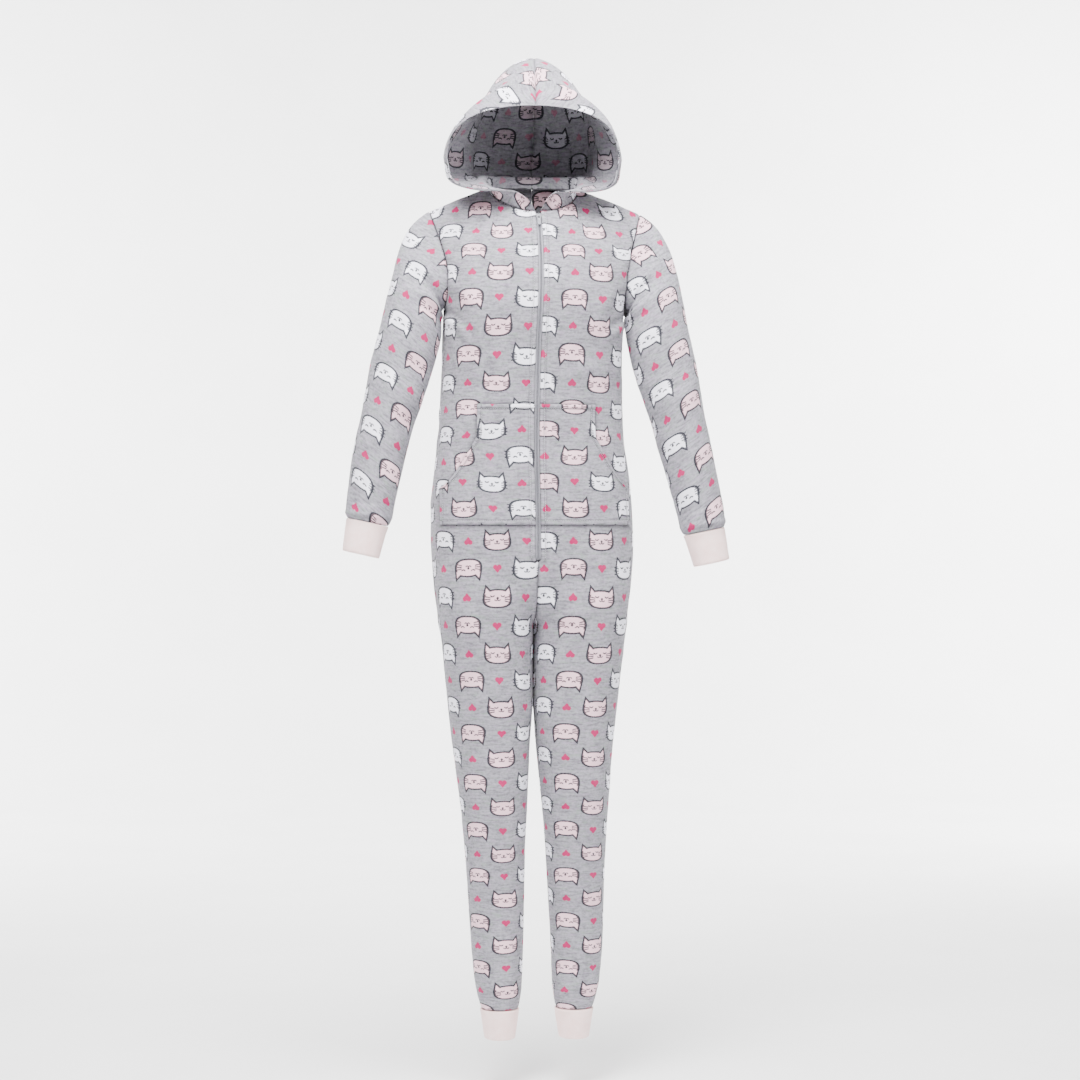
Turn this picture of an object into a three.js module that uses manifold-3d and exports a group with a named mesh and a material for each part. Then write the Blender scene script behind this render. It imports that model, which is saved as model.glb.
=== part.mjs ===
// A hooded fleece onesie with a front zip, in the shape it takes when it is worn, with no wearer in it.
// Millimetres, +Z up, the front faces -Y and +X is the wearer's left.
// The origin is the middle of the neck hole, level with the tops of the shoulders.
import * as THREE from "three";
import Module from "manifold-3d";
import { mergeVertices } from "three/addons/utils/BufferGeometryUtils.js";

const wasm = await Module();
wasm.setup();

// Driving dimensions.
const fleece = 2; // wall of the body, sleeves and hood
const lining = 1.6; // wall of the hood's lining
const rib = 2.8; // wall of the knitted cuffs, which are doubled
const pocketCloth = 1.8;
const seam = 0.3; // space between two pieces at a seam
const neckHalf = 78; // middle of the neck to the shoulder seam's neck end
const frontNeckZ = -48; // the neckline's lowest point, at the zip
const backNeckZ = 6;
const shoulderTipX = 185; // where the shoulder seam meets the sleeve
const armpitX = 158;
const armpitZ = -215;
const armholeMiddleZ = -130;
const crotchZ = -761;
const ankleZ = -1436; // leg's end, at the ankle cuff
const hemZ = -1487; // lower edge of the ankle cuffs
const zipEndZ = -655;
const coilDepth = 0.9; // front of the zip's coil below the front's face
const tapeHalf = 13; // middle to the tape's edge
const tapeDepth = 3.3; // back of the tape below the front's face
const zipHalf = 4.8; // half of the space that the front edges leave for the zip
const ridgeWidth = 9.7; // stitched edge beside the zip and round the pockets
const ridgeHeight = 1.3;
const pocketTopZ = -384;
const pocketMouthZ = -528; // lower end of the slanting hand opening
const pocketEndZ = -590;
const pocketTopX = 101;
const pocketSideX = 162;

// Numbers of steps.
const yokeRows = 9; // armpit to shoulder, and half of the armhole
const chestRows = 5; // armpit to pocket
const pocketMouthRows = 4;
const crotchRows = 6;
const legRows = 17;
const frontColumns = 9;
const pocketColumns = 6;
const backColumns = 7;
const neckColumns = { front: 5, back: 3 }; // columns that end on the neckline
const hoodColumns = 9; // face edge to centre back
const hoodRollRows = 6; // neckline to the hood's widest level
const hoodDomeRows = 7; // widest level to the centre seam
const crotchStartZ = -672; // where the rows begin to turn under
const crotchEndZ = -835;

const { lerp, clamp } = THREE.MathUtils;
const point = (x, y, z) => new THREE.Vector3(x, y, z);
const steps = (count) => Array.from({ length: count + 1 }, (_, i) => i / count);
const eased = (share) => (1 - Math.cos(Math.PI * share)) / 2; // close steps at both ends

// One column of a table as a smooth curve that never overshoots its rows.
function smoothColumn(keys, values) {
  const last = keys.length - 1;
  const slopes = keys.slice(1).map((key, i) => (values[i + 1] - values[i]) / (key - keys[i]));
  const tangents = values.map((_, i) => {
    if (i === 0) return slopes[0];
    if (i === last) return slopes[last - 1];
    const [before, after] = [slopes[i - 1], slopes[i]];
    return before * after <= 0 ? 0 : (2 * before * after) / (before + after);
  });
  return (key) => {
    const at = clamp(key, keys[0], keys[last]);
    let i = 0;
    while (i < last - 1 && at > keys[i + 1]) i += 1;
    const span = keys[i + 1] - keys[i];
    const t = (at - keys[i]) / span;
    const rise = values[i + 1] - values[i];
    const bend = t * t * (3 - 2 * t);
    const pull = span * t * (1 - t) * (tangents[i] * (1 - t) - tangents[i + 1] * t);
    return values[i] + rise * bend + pull;
  };
}

// A table with named columns. Each column becomes a function of the first one.
function table(names, rows) {
  const sorted = [...rows].sort((a, b) => a[0] - b[0]);
  const keys = sorted.map((row) => row[0]);
  return Object.fromEntries(
    names.map((name, i) => [name, smoothColumn(keys, sorted.map((row) => row[i]))]),
  );
}

// Sections of one half of the body, from above the shoulder to the ankle.
// outer and inner are the section's ends in X: inner is below 0 where the two halves run into each other,
// and above 0 where they are two legs. front and back are depths from the side seam's plane.
const body = table(["z", "outer", "inner", "front", "back", "power"], [
  [40, 225, -225, 112, 106, 2.5],
  [-45, 206, -206, 113, 108, 2.5],
  [-75, 195, -195, 114, 110, 2.5],
  [-120, 182, -182, 115, 112, 2.5],
  [-170, 166, -166, 116, 113, 2.5],
  [armpitZ, armpitX, -armpitX, 116, 112, 2.5],
  [-300, 157.5, -157.5, 108, 104, 2.5],
  [-380, 159, -159, 104, 100, 2.5],
  [-440, 162, -160, 104, 105, 2.5],
  [-500, 170, -158, 107, 114, 2.5],
  [-560, 176, -138, 109, 123, 2.5],
  [-616, 177, -107, 108, 127, 2.55],
  [-665, 174, -72, 105, 125, 2.6],
  [-705, 170.5, -40, 101, 119, 2.6],
  [-735, 167.5, -17, 97, 113, 2.55],
  [-752, 165.7, -4.5, 94.6, 109, 2.5],
  [crotchZ, 164.8, 0.4, 93.2, 107, 2.45],
  [-780, 162.3, 0.4, 91, 103.6, 2.37],
  [-800, 160, 0.4, 88.6, 100, 2.3],
  [-860, 153, 0.4, 83, 91, 2.2],
  [-900, 148.8, 0.5, 79.5, 86, 2.17],
  [-916, 147, 1.7, 78.2, 84, 2.16],
  [-940, 144.3, 3.4, 76, 81, 2.15],
  [-1000, 137.5, 7.8, 71, 73, 2.1],
  [-1071, 130.5, 12.8, 65, 65, 2.1],
  [-1140, 124.5, 17.5, 58, 62, 2.1],
  [-1210, 120.5, 20.5, 51, 59, 2.1],
  [-1281, 117.5, 23, 46, 54, 2.1],
  [-1351, 113, 25.5, 42, 47, 2.1],
  [-1388, 109, 27, 40.5, 44, 2.1],
  [-1412, 104.5, 29, 39, 42, 2.1],
  [-1427, 100, 32, 37, 40, 2.1],
  [ankleZ, 97, 34, 34.5, 37.5, 2.1],
  [hemZ, 89, 41.5, 30, 33, 2.1],
]);

// How far the whole garment leans off the middle plane at each height.
const stance = table(["z", "sideways", "backwards"], [
  [240, 3, 0],
  [130, 4, 0],
  [50, 0, 0],
  [0, 0, 0],
  [-35, 4, 0],
  [-120, 5, 0],
  [-300, -1, 0],
  [-450, -3, 0],
  [-600, -1, 0],
  [-800, 0, -4],
  [-960, 0, -3],
  [-1071, 3, -2],
  [-1250, 7, 8],
  [-1351, 9, 11],
  [-1491, 9, 14],
]);

// Rings of a sleeve's inner face, from the armhole to the wrist.
// The under point is below the arm and the over point above it.
const sleeveRings = [
  { underX: 158.6, underZ: -216, overX: 185, overZ: -43, depth: 62, back: 0 },
  { underX: 161.4, underZ: -220, overX: 207, overZ: -59, depth: 62, back: 0 },
  { underX: 162.4, underZ: -226, overX: 224, overZ: -82, depth: 61, back: -2 },
  { underX: 163, underZ: -233, overX: 237, overZ: -112, depth: 59, back: -5 },
  { underX: 163.6, underZ: -242, overX: 247, overZ: -149, depth: 57, back: -9 },
  { underX: 164.5, underZ: -256, overX: 257.5, overZ: -194, depth: 55, back: -15 },
  { underX: 169.5, underZ: -284, overX: 268, overZ: -243, depth: 53, back: -21 },
  { underX: 182.5, underZ: -332, overX: 281.5, overZ: -300, depth: 51, back: -26 },
  { underX: 198, underZ: -376, overX: 291, overZ: -352, depth: 49, back: -30 },
  { underX: 214, underZ: -425, overX: 301, overZ: -403, depth: 46, back: -34 },
  { underX: 228.5, underZ: -477, overX: 312.5, overZ: -456, depth: 43, back: -37 },
  { underX: 241, underZ: -525, overX: 321.5, overZ: -506, depth: 40, back: -41 },
  { underX: 250, underZ: -560, overX: 327.5, overZ: -545, depth: 37, back: -44 },
  { underX: 255, underZ: -580, overX: 329.5, overZ: -567, depth: 35, back: -46 },
  { underX: 261, underZ: -592, overX: 328, overZ: -578, depth: 32, back: -47 },
];
const wristCuffRings = [
  { underX: 261.4, underZ: -593.2, overX: 327.6, overZ: -579.2, depth: 30.5, back: -47 },
  { underX: 265.5, underZ: -603, overX: 329, overZ: -590, depth: 29, back: -48 },
  { underX: 272, underZ: -625, overX: 332, overZ: -612, depth: 28, back: -50 },
  { underX: 278, underZ: -647, overX: 335, overZ: -634, depth: 26.5, back: -52 },
];
// The wearer's left hand hangs a little lower and further out than the right one.
const sleeveDrop = { left: 15, right: 0 };
const sleeveSpread = { left: 2, right: -6 };

// The hood. Its dome is widest at the face and closes along a centre seam over the top and down the back.
const hood = {
  rimWidestY: -72,
  rimWidestZ: 40,
  rimTopY: -100,
  rimTopZ: 128,
  apexY: 42,
  apexZ: 234,
  backY: 126,
  backZ: 62,
  seamCornerShare: 0.5, // where the top seam's steps end and the back seam's begin
  power: 1.9, // roundness of the dome from the side
  turn: 0.085, // the hood looks a little towards the wearer's right
};
// The hood's half width at its widest level, and how round the section above it is, from the face to the back.
const hoodSections = table(["y", "half", "power"], [
  [-100, 150, 2],
  [-72, 152, 1.95],
  [-50, 156, 1.55],
  [-30, 154, 1.4],
  [0, 134, 1.5],
  [20, 120, 1.7],
  [42, 112, 1.95],
]);
// From the neckline (0) to the widest level (1): how far out, how far up, and the collar's roll forwards in mm.
const collarRoll = table(["row", "out", "up", "forward"], [
  [0, 0, 0, 0],
  [0.167, 0.09, 0.22, 6],
  [0.333, 0.24, 0.335, 10],
  [0.5, 0.48, 0.335, 9],
  [0.667, 0.75, 0.39, 5],
  [0.833, 0.935, 0.57, 1],
  [1, 1, 1, 0],
]);

// The folds that show from a step away, on the front (-1) or back (1) face of each half of the body.
const bodyFolds = [
  { face: -1, x: 120, z: -200, angle: 52, length: 70, width: 13, height: 3 },
  { face: -1, x: 138, z: -262, angle: 70, length: 60, width: 12, height: 2.2 },
  { face: -1, x: 34, z: -700, angle: 35, length: 60, width: 12, height: -2.5 },
  { face: -1, x: 60, z: -745, angle: 20, length: 60, width: 12, height: 2.5 },
  { face: -1, x: 70, z: -1045, angle: 12, length: 55, width: 13, height: 2.5 },
  { face: -1, x: 74, z: -1395, angle: 5, length: 45, width: 9, height: 2.2 },
  { face: 1, x: 118, z: -190, angle: 48, length: 75, width: 14, height: 3.5 },
  { face: 1, x: 60, z: -400, angle: 8, length: 90, width: 13, height: 4 },
  { face: 1, x: 80, z: -440, angle: -6, length: 90, width: 14, height: 3.5 },
  { face: 1, x: 45, z: -715, angle: 38, length: 75, width: 15, height: -4 },
  { face: 1, x: 80, z: -770, angle: 14, length: 70, width: 14, height: 3.5 },
  { face: 1, x: 72, z: -1085, angle: -10, length: 60, width: 14, height: -3.5 },
  { face: 1, x: 70, z: -1120, angle: 8, length: 60, width: 12, height: 3 },
];
// Folds of each sleeve: along is the share of its length, around is 0 under the arm, 0.5 over it, 0.25 in front.
const sleeveFolds = [
  { along: 0.16, around: 0.16, slant: 1.6, reach: 0.16, width: 0.03, height: -5 },
  { along: 0.24, around: 0.14, slant: 1.3, reach: 0.15, width: 0.03, height: 4.5 },
  { along: 0.2, around: 0.84, slant: -1.5, reach: 0.16, width: 0.03, height: -5 },
  { along: 0.29, around: 0.86, slant: -1.2, reach: 0.14, width: 0.03, height: 4 },
  { along: 0.5, around: 0.2, slant: 0.25, reach: 0.14, width: 0.025, height: -3 },
  { along: 0.57, around: 0.24, slant: -0.2, reach: 0.13, width: 0.022, height: 2.6 },
  { along: 0.63, around: 0.16, slant: 0.2, reach: 0.12, width: 0.022, height: -2.4 },
  { along: 0.93, around: 0.3, slant: 0.1, reach: 0.25, width: 0.02, height: 2 },
];

const gauss = (distance) => Math.exp(-distance * distance);

function bodyFoldAt(x, z, face) {
  let height = 0;
  for (const fold of bodyFolds) {
    if (fold.face !== face) continue;
    const turn = THREE.MathUtils.degToRad(fold.angle);
    const along = (x - fold.x) * Math.cos(turn) + (z - fold.z) * Math.sin(turn);
    const across = (z - fold.z) * Math.cos(turn) - (x - fold.x) * Math.sin(turn);
    height += fold.height * gauss(along / fold.length) * gauss(across / fold.width);
  }
  return height;
}

function sleeveFoldAt(along, around) {
  let height = 0;
  for (const fold of sleeveFolds) {
    const aside = around - fold.around;
    const ahead = along - fold.along - fold.slant * aside * 0.3;
    height += fold.height * gauss(ahead / fold.width) * gauss(aside / fold.reach);
  }
  return height;
}

// Height of the shoulder seam above a distance from the middle plane.
function shoulderLine(x) {
  const beyond = x - neckHalf;
  if (beyond < 0) return 25 * (1 - (x / neckHalf) ** 2);
  return -0.34 * beyond - 0.0006 * beyond * beyond;
}

function sectionAt(z) {
  const outer = body.outer(z);
  const inner = body.inner(z);
  return {
    centre: (outer + inner) / 2,
    half: (outer - inner) / 2,
    front: body.front(z),
    back: body.back(z),
    power: body.power(z),
  };
}

// How much of the depth is left above the armpit. The front slopes back to the neck sooner than the back.
function yokeDepth(x, z, face) {
  const rise = clamp((z - armpitZ) / (shoulderLine(Math.abs(x)) - armpitZ), 0, 1);
  return face < 0 ? (1 - rise ** 1.7) ** 0.9 : (1 - rise ** 2.2) ** 0.5;
}

// 0 on the body's outer face, below 0 inside it and above 0 outside.
function bodyField(x, y, z) {
  const section = sectionAt(z);
  const across = (Math.abs(Math.abs(x) - section.centre) / section.half) ** section.power;
  const depth = (Math.abs(y) / (y < 0 ? section.front : section.back)) ** section.power;
  if (z <= armpitZ) return across + depth - 1;
  return depth - (1 - across) * yokeDepth(x, z, y) ** section.power;
}

function bodyNormal(p) {
  const reach = 0.4;
  const slope = (dx, dy, dz) =>
    bodyField(p.x + dx, p.y + dy, p.z + dz) - bodyField(p.x - dx, p.y - dy, p.z - dz);
  return point(slope(reach, 0, 0), slope(0, reach, 0), slope(0, 0, reach)).normalize();
}

// The point of the body's front (-1) or back (1) face at a place in the front view.
function bodyPoint(x, z, face) {
  const section = sectionAt(z);
  const room = 1 - (Math.abs(x - section.centre) / section.half) ** section.power;
  const depth = (face < 0 ? section.front : section.back) * yokeDepth(x, z, face);
  return point(x, face * depth * Math.max(0, room) ** (1 / section.power), z);
}

// The edge of a panel at the middle: beside the zip, and at the centre seam below it.
const middleEdge = (z, face) =>
  face < 0 ? lerp(seam / 2, zipHalf, clamp((z - zipEndZ) / 5, 0, 1)) : seam / 2;

// One half of a section's front or back, from the middle or the inseam to the side seam, by length along it.
function sectionCurve(z, face) {
  const section = sectionAt(z);
  const depth = face < 0 ? section.front : section.back;
  const at = (angle) => {
    const across = (Math.abs(Math.cos(angle)) / section.half) ** section.power;
    const through = (Math.abs(Math.sin(angle)) / depth) ** section.power;
    const radius = (across + through) ** (-1 / section.power);
    return point(section.centre + radius * Math.cos(angle), face * radius * Math.sin(angle), z);
  };
  let start = Math.PI;
  const edge = middleEdge(z, face);
  if (at(start).x < edge) {
    let low = 0;
    for (let i = 0; i < 40; i += 1) {
      const middle = (low + start) / 2;
      if (at(middle).x > edge) low = middle;
      else start = middle;
    }
  }
  const fine = steps(120).map((share) => at(start * (1 - share)));
  const lengths = [0];
  for (let i = 1; i < fine.length; i += 1) {
    lengths.push(lengths[i - 1] + fine[i].distanceTo(fine[i - 1]));
  }
  const total = lengths[lengths.length - 1];
  const pointAt = (length) => {
    let i = 1;
    while (i < fine.length - 1 && lengths[i] < length) i += 1;
    const share = (length - lengths[i - 1]) / (lengths[i] - lengths[i - 1]);
    return fine[i - 1].clone().lerp(fine[i], clamp(share, 0, 1));
  };
  const lengthAtX = (x) => {
    let i = fine.length - 1;
    while (i > 1 && fine[i - 1].x > x) i -= 1;
    return lerp(lengths[i - 1], lengths[i], clamp((x - fine[i - 1].x) / (fine[i].x - fine[i - 1].x), 0, 1));
  };
  return { total, pointAt, lengthAtX };
}

// A panel's points at one level. A front panel has the stitched ridge in its first two columns,
// and its column pocketColumns runs along the pocket's side edge.
function columnPoints(z, face) {
  const curve = sectionCurve(z, face);
  if (face > 0) return steps(backColumns).map((share) => curve.pointAt(share * curve.total));
  const evenShare = (pocketColumns - 2) / (frontColumns - 2);
  const nearPocket = Math.min(clamp((z - pocketEndZ + 80) / 80, 0, 1), clamp((pocketTopZ + 90 - z) / 90, 0, 1));
  const even = lerp(ridgeWidth, curve.total, evenShare);
  const side = lerp(even, curve.lengthAtX(pocketOuterX(z)), eased(nearPocket));
  const inner = steps(pocketColumns - 2).map((share) => lerp(ridgeWidth, side, share));
  const outer = steps(frontColumns - pocketColumns).slice(1).map((share) => lerp(side, curve.total, share));
  return [0, ridgeWidth / 2, ...inner, ...outer].map(curve.pointAt);
}

// The hand opening's edge: straight down from the top corner, then curving out to the side.
function pocketOuterX(z) {
  const share = clamp((z - pocketMouthZ) / (pocketTopZ - pocketMouthZ), 0, 1);
  return lerp(pocketSideX, pocketTopX, Math.min(1, (share / 0.62) ** 0.75));
}

// The panel's upper edge in the front view: the neckline, then the shoulder seam.
function upperEdge(face) {
  const count = face < 0 ? neckColumns.front : neckColumns.back;
  const columns = face < 0 ? frontColumns : backColumns;
  const lowZ = face < 0 ? frontNeckZ : backNeckZ;
  const edgeX = middleEdge(0, face);
  const fixed = face < 0 ? [edgeX, edgeX + ridgeWidth / 2, edgeX + ridgeWidth] : [edgeX];
  const startTurn = Math.asin(fixed[fixed.length - 1] / neckHalf);
  const turns = steps(count - fixed.length + 1).map((s) => lerp(startTurn, Math.PI / 2, s));
  const necklineX = [...fixed.slice(0, -1), ...turns.map((turn) => neckHalf * Math.sin(turn))];
  const neckline = necklineX.map((x) => {
    const rise = Math.sqrt(Math.max(0, 1 - (x / neckHalf) ** 2));
    return point(x, 0, lowZ * rise);
  });
  const shoulder = steps(columns - count)
    .slice(1)
    .map((share) => {
      const x = lerp(neckHalf, shoulderTipX, share);
      return point(x, 0, shoulderLine(x));
    });
  return [...neckline, ...shoulder];
}

// The armhole's edge in the front view, from the armpit (0) to the shoulder's tip (1).
function armholeEdge(share) {
  const z = lerp(armpitZ, shoulderLine(shoulderTipX), share);
  const straight = lerp(armpitX, shoulderTipX, share);
  return point(straight - 13 * Math.sin(Math.PI * share ** 0.8) * (1 - 0.4 * share), 0, z);
}

// Rows of a panel above the armpit, from the shoulder down. Each is spread between the panel's four edges.
function yokeGrid(face) {
  const lower = columnPoints(armpitZ, face);
  const upper = upperEdge(face);
  const last = lower.length - 1;
  return steps(yokeRows).slice(0, -1).map((down) => {
    const share = eased(1 - down);
    const side = armholeEdge(share);
    const straightX = lerp(lower[last].x, upper[last].x, share);
    return lower.map((low, j) => {
      const acrossShare = (low.x / lower[last].x) ** 2;
      const x = lerp(low.x, upper[j].x, share) + acrossShare * (side.x - straightX);
      const z = lerp(low.z, upper[j].z, share);
      return bodyPoint(x, Math.min(z, shoulderLine(x)), face);
    });
  });
}

// Heights of the rows below the armpit. They close up where the crotch curves under.
const between = (from, to, count) => steps(count).slice(1).map((share) => lerp(from, to, share));
const pocketLevels = [
  pocketTopZ,
  ...between(pocketTopZ, pocketMouthZ, pocketMouthRows),
  ...between(pocketMouthZ, pocketEndZ, 2),
];
const lowerLevels = [
  armpitZ,
  ...between(armpitZ, pocketTopZ, chestRows),
  ...pocketLevels.slice(1),
  ...between(pocketEndZ, zipEndZ + 5, 2),
  ...steps(crotchRows).map((share) => lerp(zipEndZ, crotchZ, Math.sin((share * Math.PI) / 2))),
  ...between(crotchZ, ankleZ, legRows),
];
const pocketStartRow = yokeRows + chestRows;
const crotchRow = lowerLevels.indexOf(crotchZ) + yokeRows;

// Near the crotch the middle edge turns inwards, and the columns beside it keep their places in the front view.
function crotchPoints(z, face) {
  const above = columnPoints(crotchStartZ, face);
  const below = columnPoints(crotchEndZ, face);
  const share = eased((z - crotchStartZ) / (crotchEndZ - crotchStartZ));
  const edge = sectionCurve(z, face).pointAt(0);
  const side = point(body.outer(z), 0, z);
  return above.map((p, j) => {
    if (j === 0) return edge;
    if (j === above.length - 1) return side;
    return bodyPoint(lerp(p.x, below[j].x, share), z, face);
  });
}

function panelGrid(face) {
  const lower = lowerLevels.map((z) => {
    const isNearCrotch = z < crotchStartZ && z > crotchEndZ;
    return isNearCrotch ? crotchPoints(z, face) : columnPoints(z, face);
  });
  return [...yokeGrid(face), ...lower];
}

const isBesidePocket = (z) => z < pocketTopZ + 4 && z > pocketEndZ - 4;
const ridgeAt = (z) => (z > zipEndZ && !isBesidePocket(z) ? ridgeHeight : 0);

// Moves each row or column at an edge towards its neighbour, so that a seam keeps its space.
function inset(grid, edge, by) {
  const rows = grid.length;
  const columns = grid[0].length;
  const shift = (from, to) => from.add(to.clone().sub(from).setLength(by));
  if (edge === "first row") grid[0].forEach((p, j) => shift(p, grid[1][j]));
  if (edge === "last row") grid[rows - 1].forEach((p, j) => shift(p, grid[rows - 2][j]));
  if (edge === "first column") grid.forEach((row) => shift(row[0], row[1]));
  if (edge === "last column") grid.forEach((row) => shift(row[columns - 1], row[columns - 2]));
}

// One closed wall between two grids of points. A tube's columns wrap round.
function wall(outer, inner, isTube = false) {
  const rows = outer.length;
  const columns = outer[0].length;
  const points = [...outer.flat(), ...inner.flat()];
  const at = (layer, i, j) => (layer * rows + i) * columns + (j % columns);
  const faces = [];
  const quad = (a, b, c, d) => faces.push(a, b, c, a, c, d);
  const strips = isTube ? columns : columns - 1;
  for (let j = 0; j < strips; j += 1) {
    for (let i = 0; i < rows - 1; i += 1) {
      quad(at(0, i, j), at(0, i, j + 1), at(0, i + 1, j + 1), at(0, i + 1, j));
      quad(at(1, i, j), at(1, i + 1, j), at(1, i + 1, j + 1), at(1, i, j + 1));
    }
    quad(at(0, 0, j), at(1, 0, j), at(1, 0, j + 1), at(0, 0, j + 1));
    quad(at(0, rows - 1, j), at(0, rows - 1, j + 1), at(1, rows - 1, j + 1), at(1, rows - 1, j));
  }
  for (let i = 0; i < rows - 1 && !isTube; i += 1) {
    const right = columns - 1;
    quad(at(0, i, 0), at(0, i + 1, 0), at(1, i + 1, 0), at(1, i, 0));
    quad(at(0, i, right), at(1, i, right), at(1, i + 1, right), at(0, i + 1, right));
  }
  return solid(points, faces);
}

// A geometry whose faces point outwards.
function solid(points, faces) {
  let volume = 0;
  for (let i = 0; i < faces.length; i += 3) {
    const [a, b, c] = [points[faces[i]], points[faces[i + 1]], points[faces[i + 2]]];
    volume += a.dot(b.clone().cross(c));
  }
  if (volume < 0) {
    for (let i = 0; i < faces.length; i += 3) [faces[i + 1], faces[i + 2]] = [faces[i + 2], faces[i + 1]];
  }
  const geometry = new THREE.BufferGeometry();
  geometry.setAttribute("position", new THREE.Float32BufferAttribute(points.flatMap((p) => p.toArray()), 3));
  geometry.setIndex(faces);
  geometry.computeVertexNormals();
  return geometry;
}

// Puts a half's points on the wearer's left (1) or right (-1), and leans them as the garment stands.
function stand(grid, side) {
  return grid.map((row) =>
    row.map((p) => {
      const turned = p.y * hood.turn * eased(clamp((p.z + 60) / 80, 0, 1));
      return point(side * p.x + stance.sideways(p.z) + turned, p.y + stance.backwards(p.z), p.z);
    }),
  );
}

const movedAlong = (grid, normals, distance) =>
  grid.map((row, i) => row.map((p, j) => p.clone().addScaledVector(normals[i][j], distance)));

// Normals of a free grid from its neighbours. A tube's columns wrap round.
function gridNormals(grid, isTube = false) {
  const rows = grid.length;
  const columns = grid[0].length;
  return grid.map((row, i) =>
    row.map((_, j) => {
      const before = isTube ? (j + columns - 1) % columns : Math.max(0, j - 1);
      const after = isTube ? (j + 1) % columns : Math.min(columns - 1, j + 1);
      const across = row[after].clone().sub(row[before]);
      const down = grid[Math.min(rows - 1, i + 1)][j].clone().sub(grid[Math.max(0, i - 1)][j]);
      return across.cross(down).normalize();
    }),
  );
}

const tubeNormals = (grid) => gridNormals(grid, true).map((row) => row.map((normal) => normal.negate()));

// A panel's outer face with its folds, and its normals.
function panelSurface(face) {
  const plain = panelGrid(face);
  const normals = plain.map((row) => row.map(bodyNormal));
  const grid = plain.map((row, i) =>
    row.map((p, j) => {
      const fold = bodyFoldAt(p.x, p.z, face) * clamp(Math.abs(p.y) / 25, 0, 1) * clamp(p.x / 15, 0, 1);
      return p.clone().addScaledVector(normals[i][j], fold);
    }),
  );
  return { grid, normals };
}
const surfaces = { front: panelSurface(-1), back: panelSurface(1) };

function bodyPanel(face, side) {
  const { grid, normals } = face < 0 ? surfaces.front : surfaces.back;
  const outer = movedAlong(grid, normals, 0);
  const inner = movedAlong(grid, normals, -fleece);
  if (face < 0) {
    outer.forEach((row, i) => row[1].addScaledVector(normals[i][1], ridgeAt(row[1].z)));
  }
  for (const layer of [outer, inner]) {
    inset(layer, "first row", seam / 2);
    inset(layer, "last row", seam / 2);
    inset(layer, "last column", seam / 2);
    inset(layer.slice(crotchRow), "first column", seam / 2);
  }
  return wall(stand(outer, side), stand(inner, side));
}

// The armhole's whole loop: under the arm, up the front, over the shoulder and down the back.
function armholeLoop() {
  const half = ({ grid }) =>
    grid.slice(0, yokeRows + 1).map((row) => {
      const last = row.length - 1;
      const away = row[last].clone().sub(row[last - 1]).normalize();
      return { p: row[last].clone().addScaledVector(away, seam / 2) };
    });
  const front = half(surfaces.front).reverse();
  const back = half(surfaces.back);
  return [...front, ...back.slice(1, -1)];
}

function ringPoint(ring, around, side) {
  const turn = around * 2 * Math.PI;
  const over = (1 - Math.cos(turn)) / 2;
  const low = clamp((-ring.underZ - 216) / 376, 0, 1);
  const dropped = sleeveDrop[side] * low;
  const spread = sleeveSpread[side] * Math.sqrt(clamp((-ring.underZ - 240) / 352, 0, 1));
  return point(
    lerp(ring.underX, ring.overX, over) + spread,
    -ring.depth * Math.sin(turn) + ring.back,
    lerp(ring.underZ, ring.overZ, over) - dropped,
  );
}

// Rings of a tube, with as many points round as the armhole has.
const ringCount = 2 * yokeRows;
const ringShares = Array.from({ length: ringCount }, (_, j) => j / ringCount);

function betweenRings(rings, between) {
  const names = Object.keys(rings[0]);
  const columns = table(
    ["row", ...names],
    rings.map((ring, i) => [i, ...names.map((name) => ring[name])]),
  );
  return steps((rings.length - 1) * between).map((share) => {
    const row = share * (rings.length - 1);
    return Object.fromEntries(names.map((name) => [name, columns[name](row)]));
  });
}

function sleeveTube(sideName, side) {
  const rings = betweenRings(sleeveRings, 1.5);
  const loop = armholeLoop();
  const first = ringShares.map((around) => ringPoint(rings[0], around, sideName));
  const fadeRings = 8;
  const holds = rings.map((_, i) => eased(clamp(1 - i / fadeRings, 0, 1)));
  const grid = rings.map((ring, i) =>
    ringShares.map((around, j) => {
      const own = ringPoint(ring, around, sideName);
      const away = loop[j].p.clone().sub(first[j]);
      const clear = point(0.5 * holds[i] * clamp(Math.cos(around * 2 * Math.PI), 0, 1), 0, 0);
      return own.addScaledVector(away, holds[i]).add(clear);
    }),
  );
  const normals = tubeNormals(grid);
  normals[0] = loop.map(({ p }) => point(0, p.y, p.z - armholeMiddleZ).normalize());
  const outer = grid.map((row, i) =>
    row.map((p, j) => {
      const along = i / (grid.length - 1);
      const ends = clamp(along / 0.1, 0, 1) * clamp((1 - along) / 0.05, 0, 1);
      const height = sleeveFoldAt(along, ringShares[j]) * ends + fleece * (1 - holds[i]);
      return p.clone().addScaledVector(normals[i][j], height);
    }),
  );
  const inner = movedAlong(outer, normals, -fleece);
  return wall(stand(outer, side), stand(inner, side), true);
}

function wristCuff(sideName, side) {
  const grid = betweenRings(wristCuffRings, 1).map((ring) =>
    ringShares.map((around) => ringPoint(ring, around, sideName)),
  );
  const outer = movedAlong(grid, tubeNormals(grid), rib);
  return wall(stand(outer, side), stand(grid, side), true);
}

function ankleCuff(side) {
  const levels = steps(4).map((share) => lerp(ankleZ - seam, hemZ, share));
  const grid = levels.map((z) => {
    const section = sectionAt(z);
    return ringShares.map((around) => {
      const turn = around * 2 * Math.PI;
      const depth = Math.sin(turn) > 0 ? section.front : section.back;
      return point(section.centre - section.half * Math.cos(turn), -depth * Math.sin(turn), z);
    });
  });
  const outer = movedAlong(grid, tubeNormals(grid), rib);
  return wall(stand(outer, side), stand(grid, side), true);
}

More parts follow.
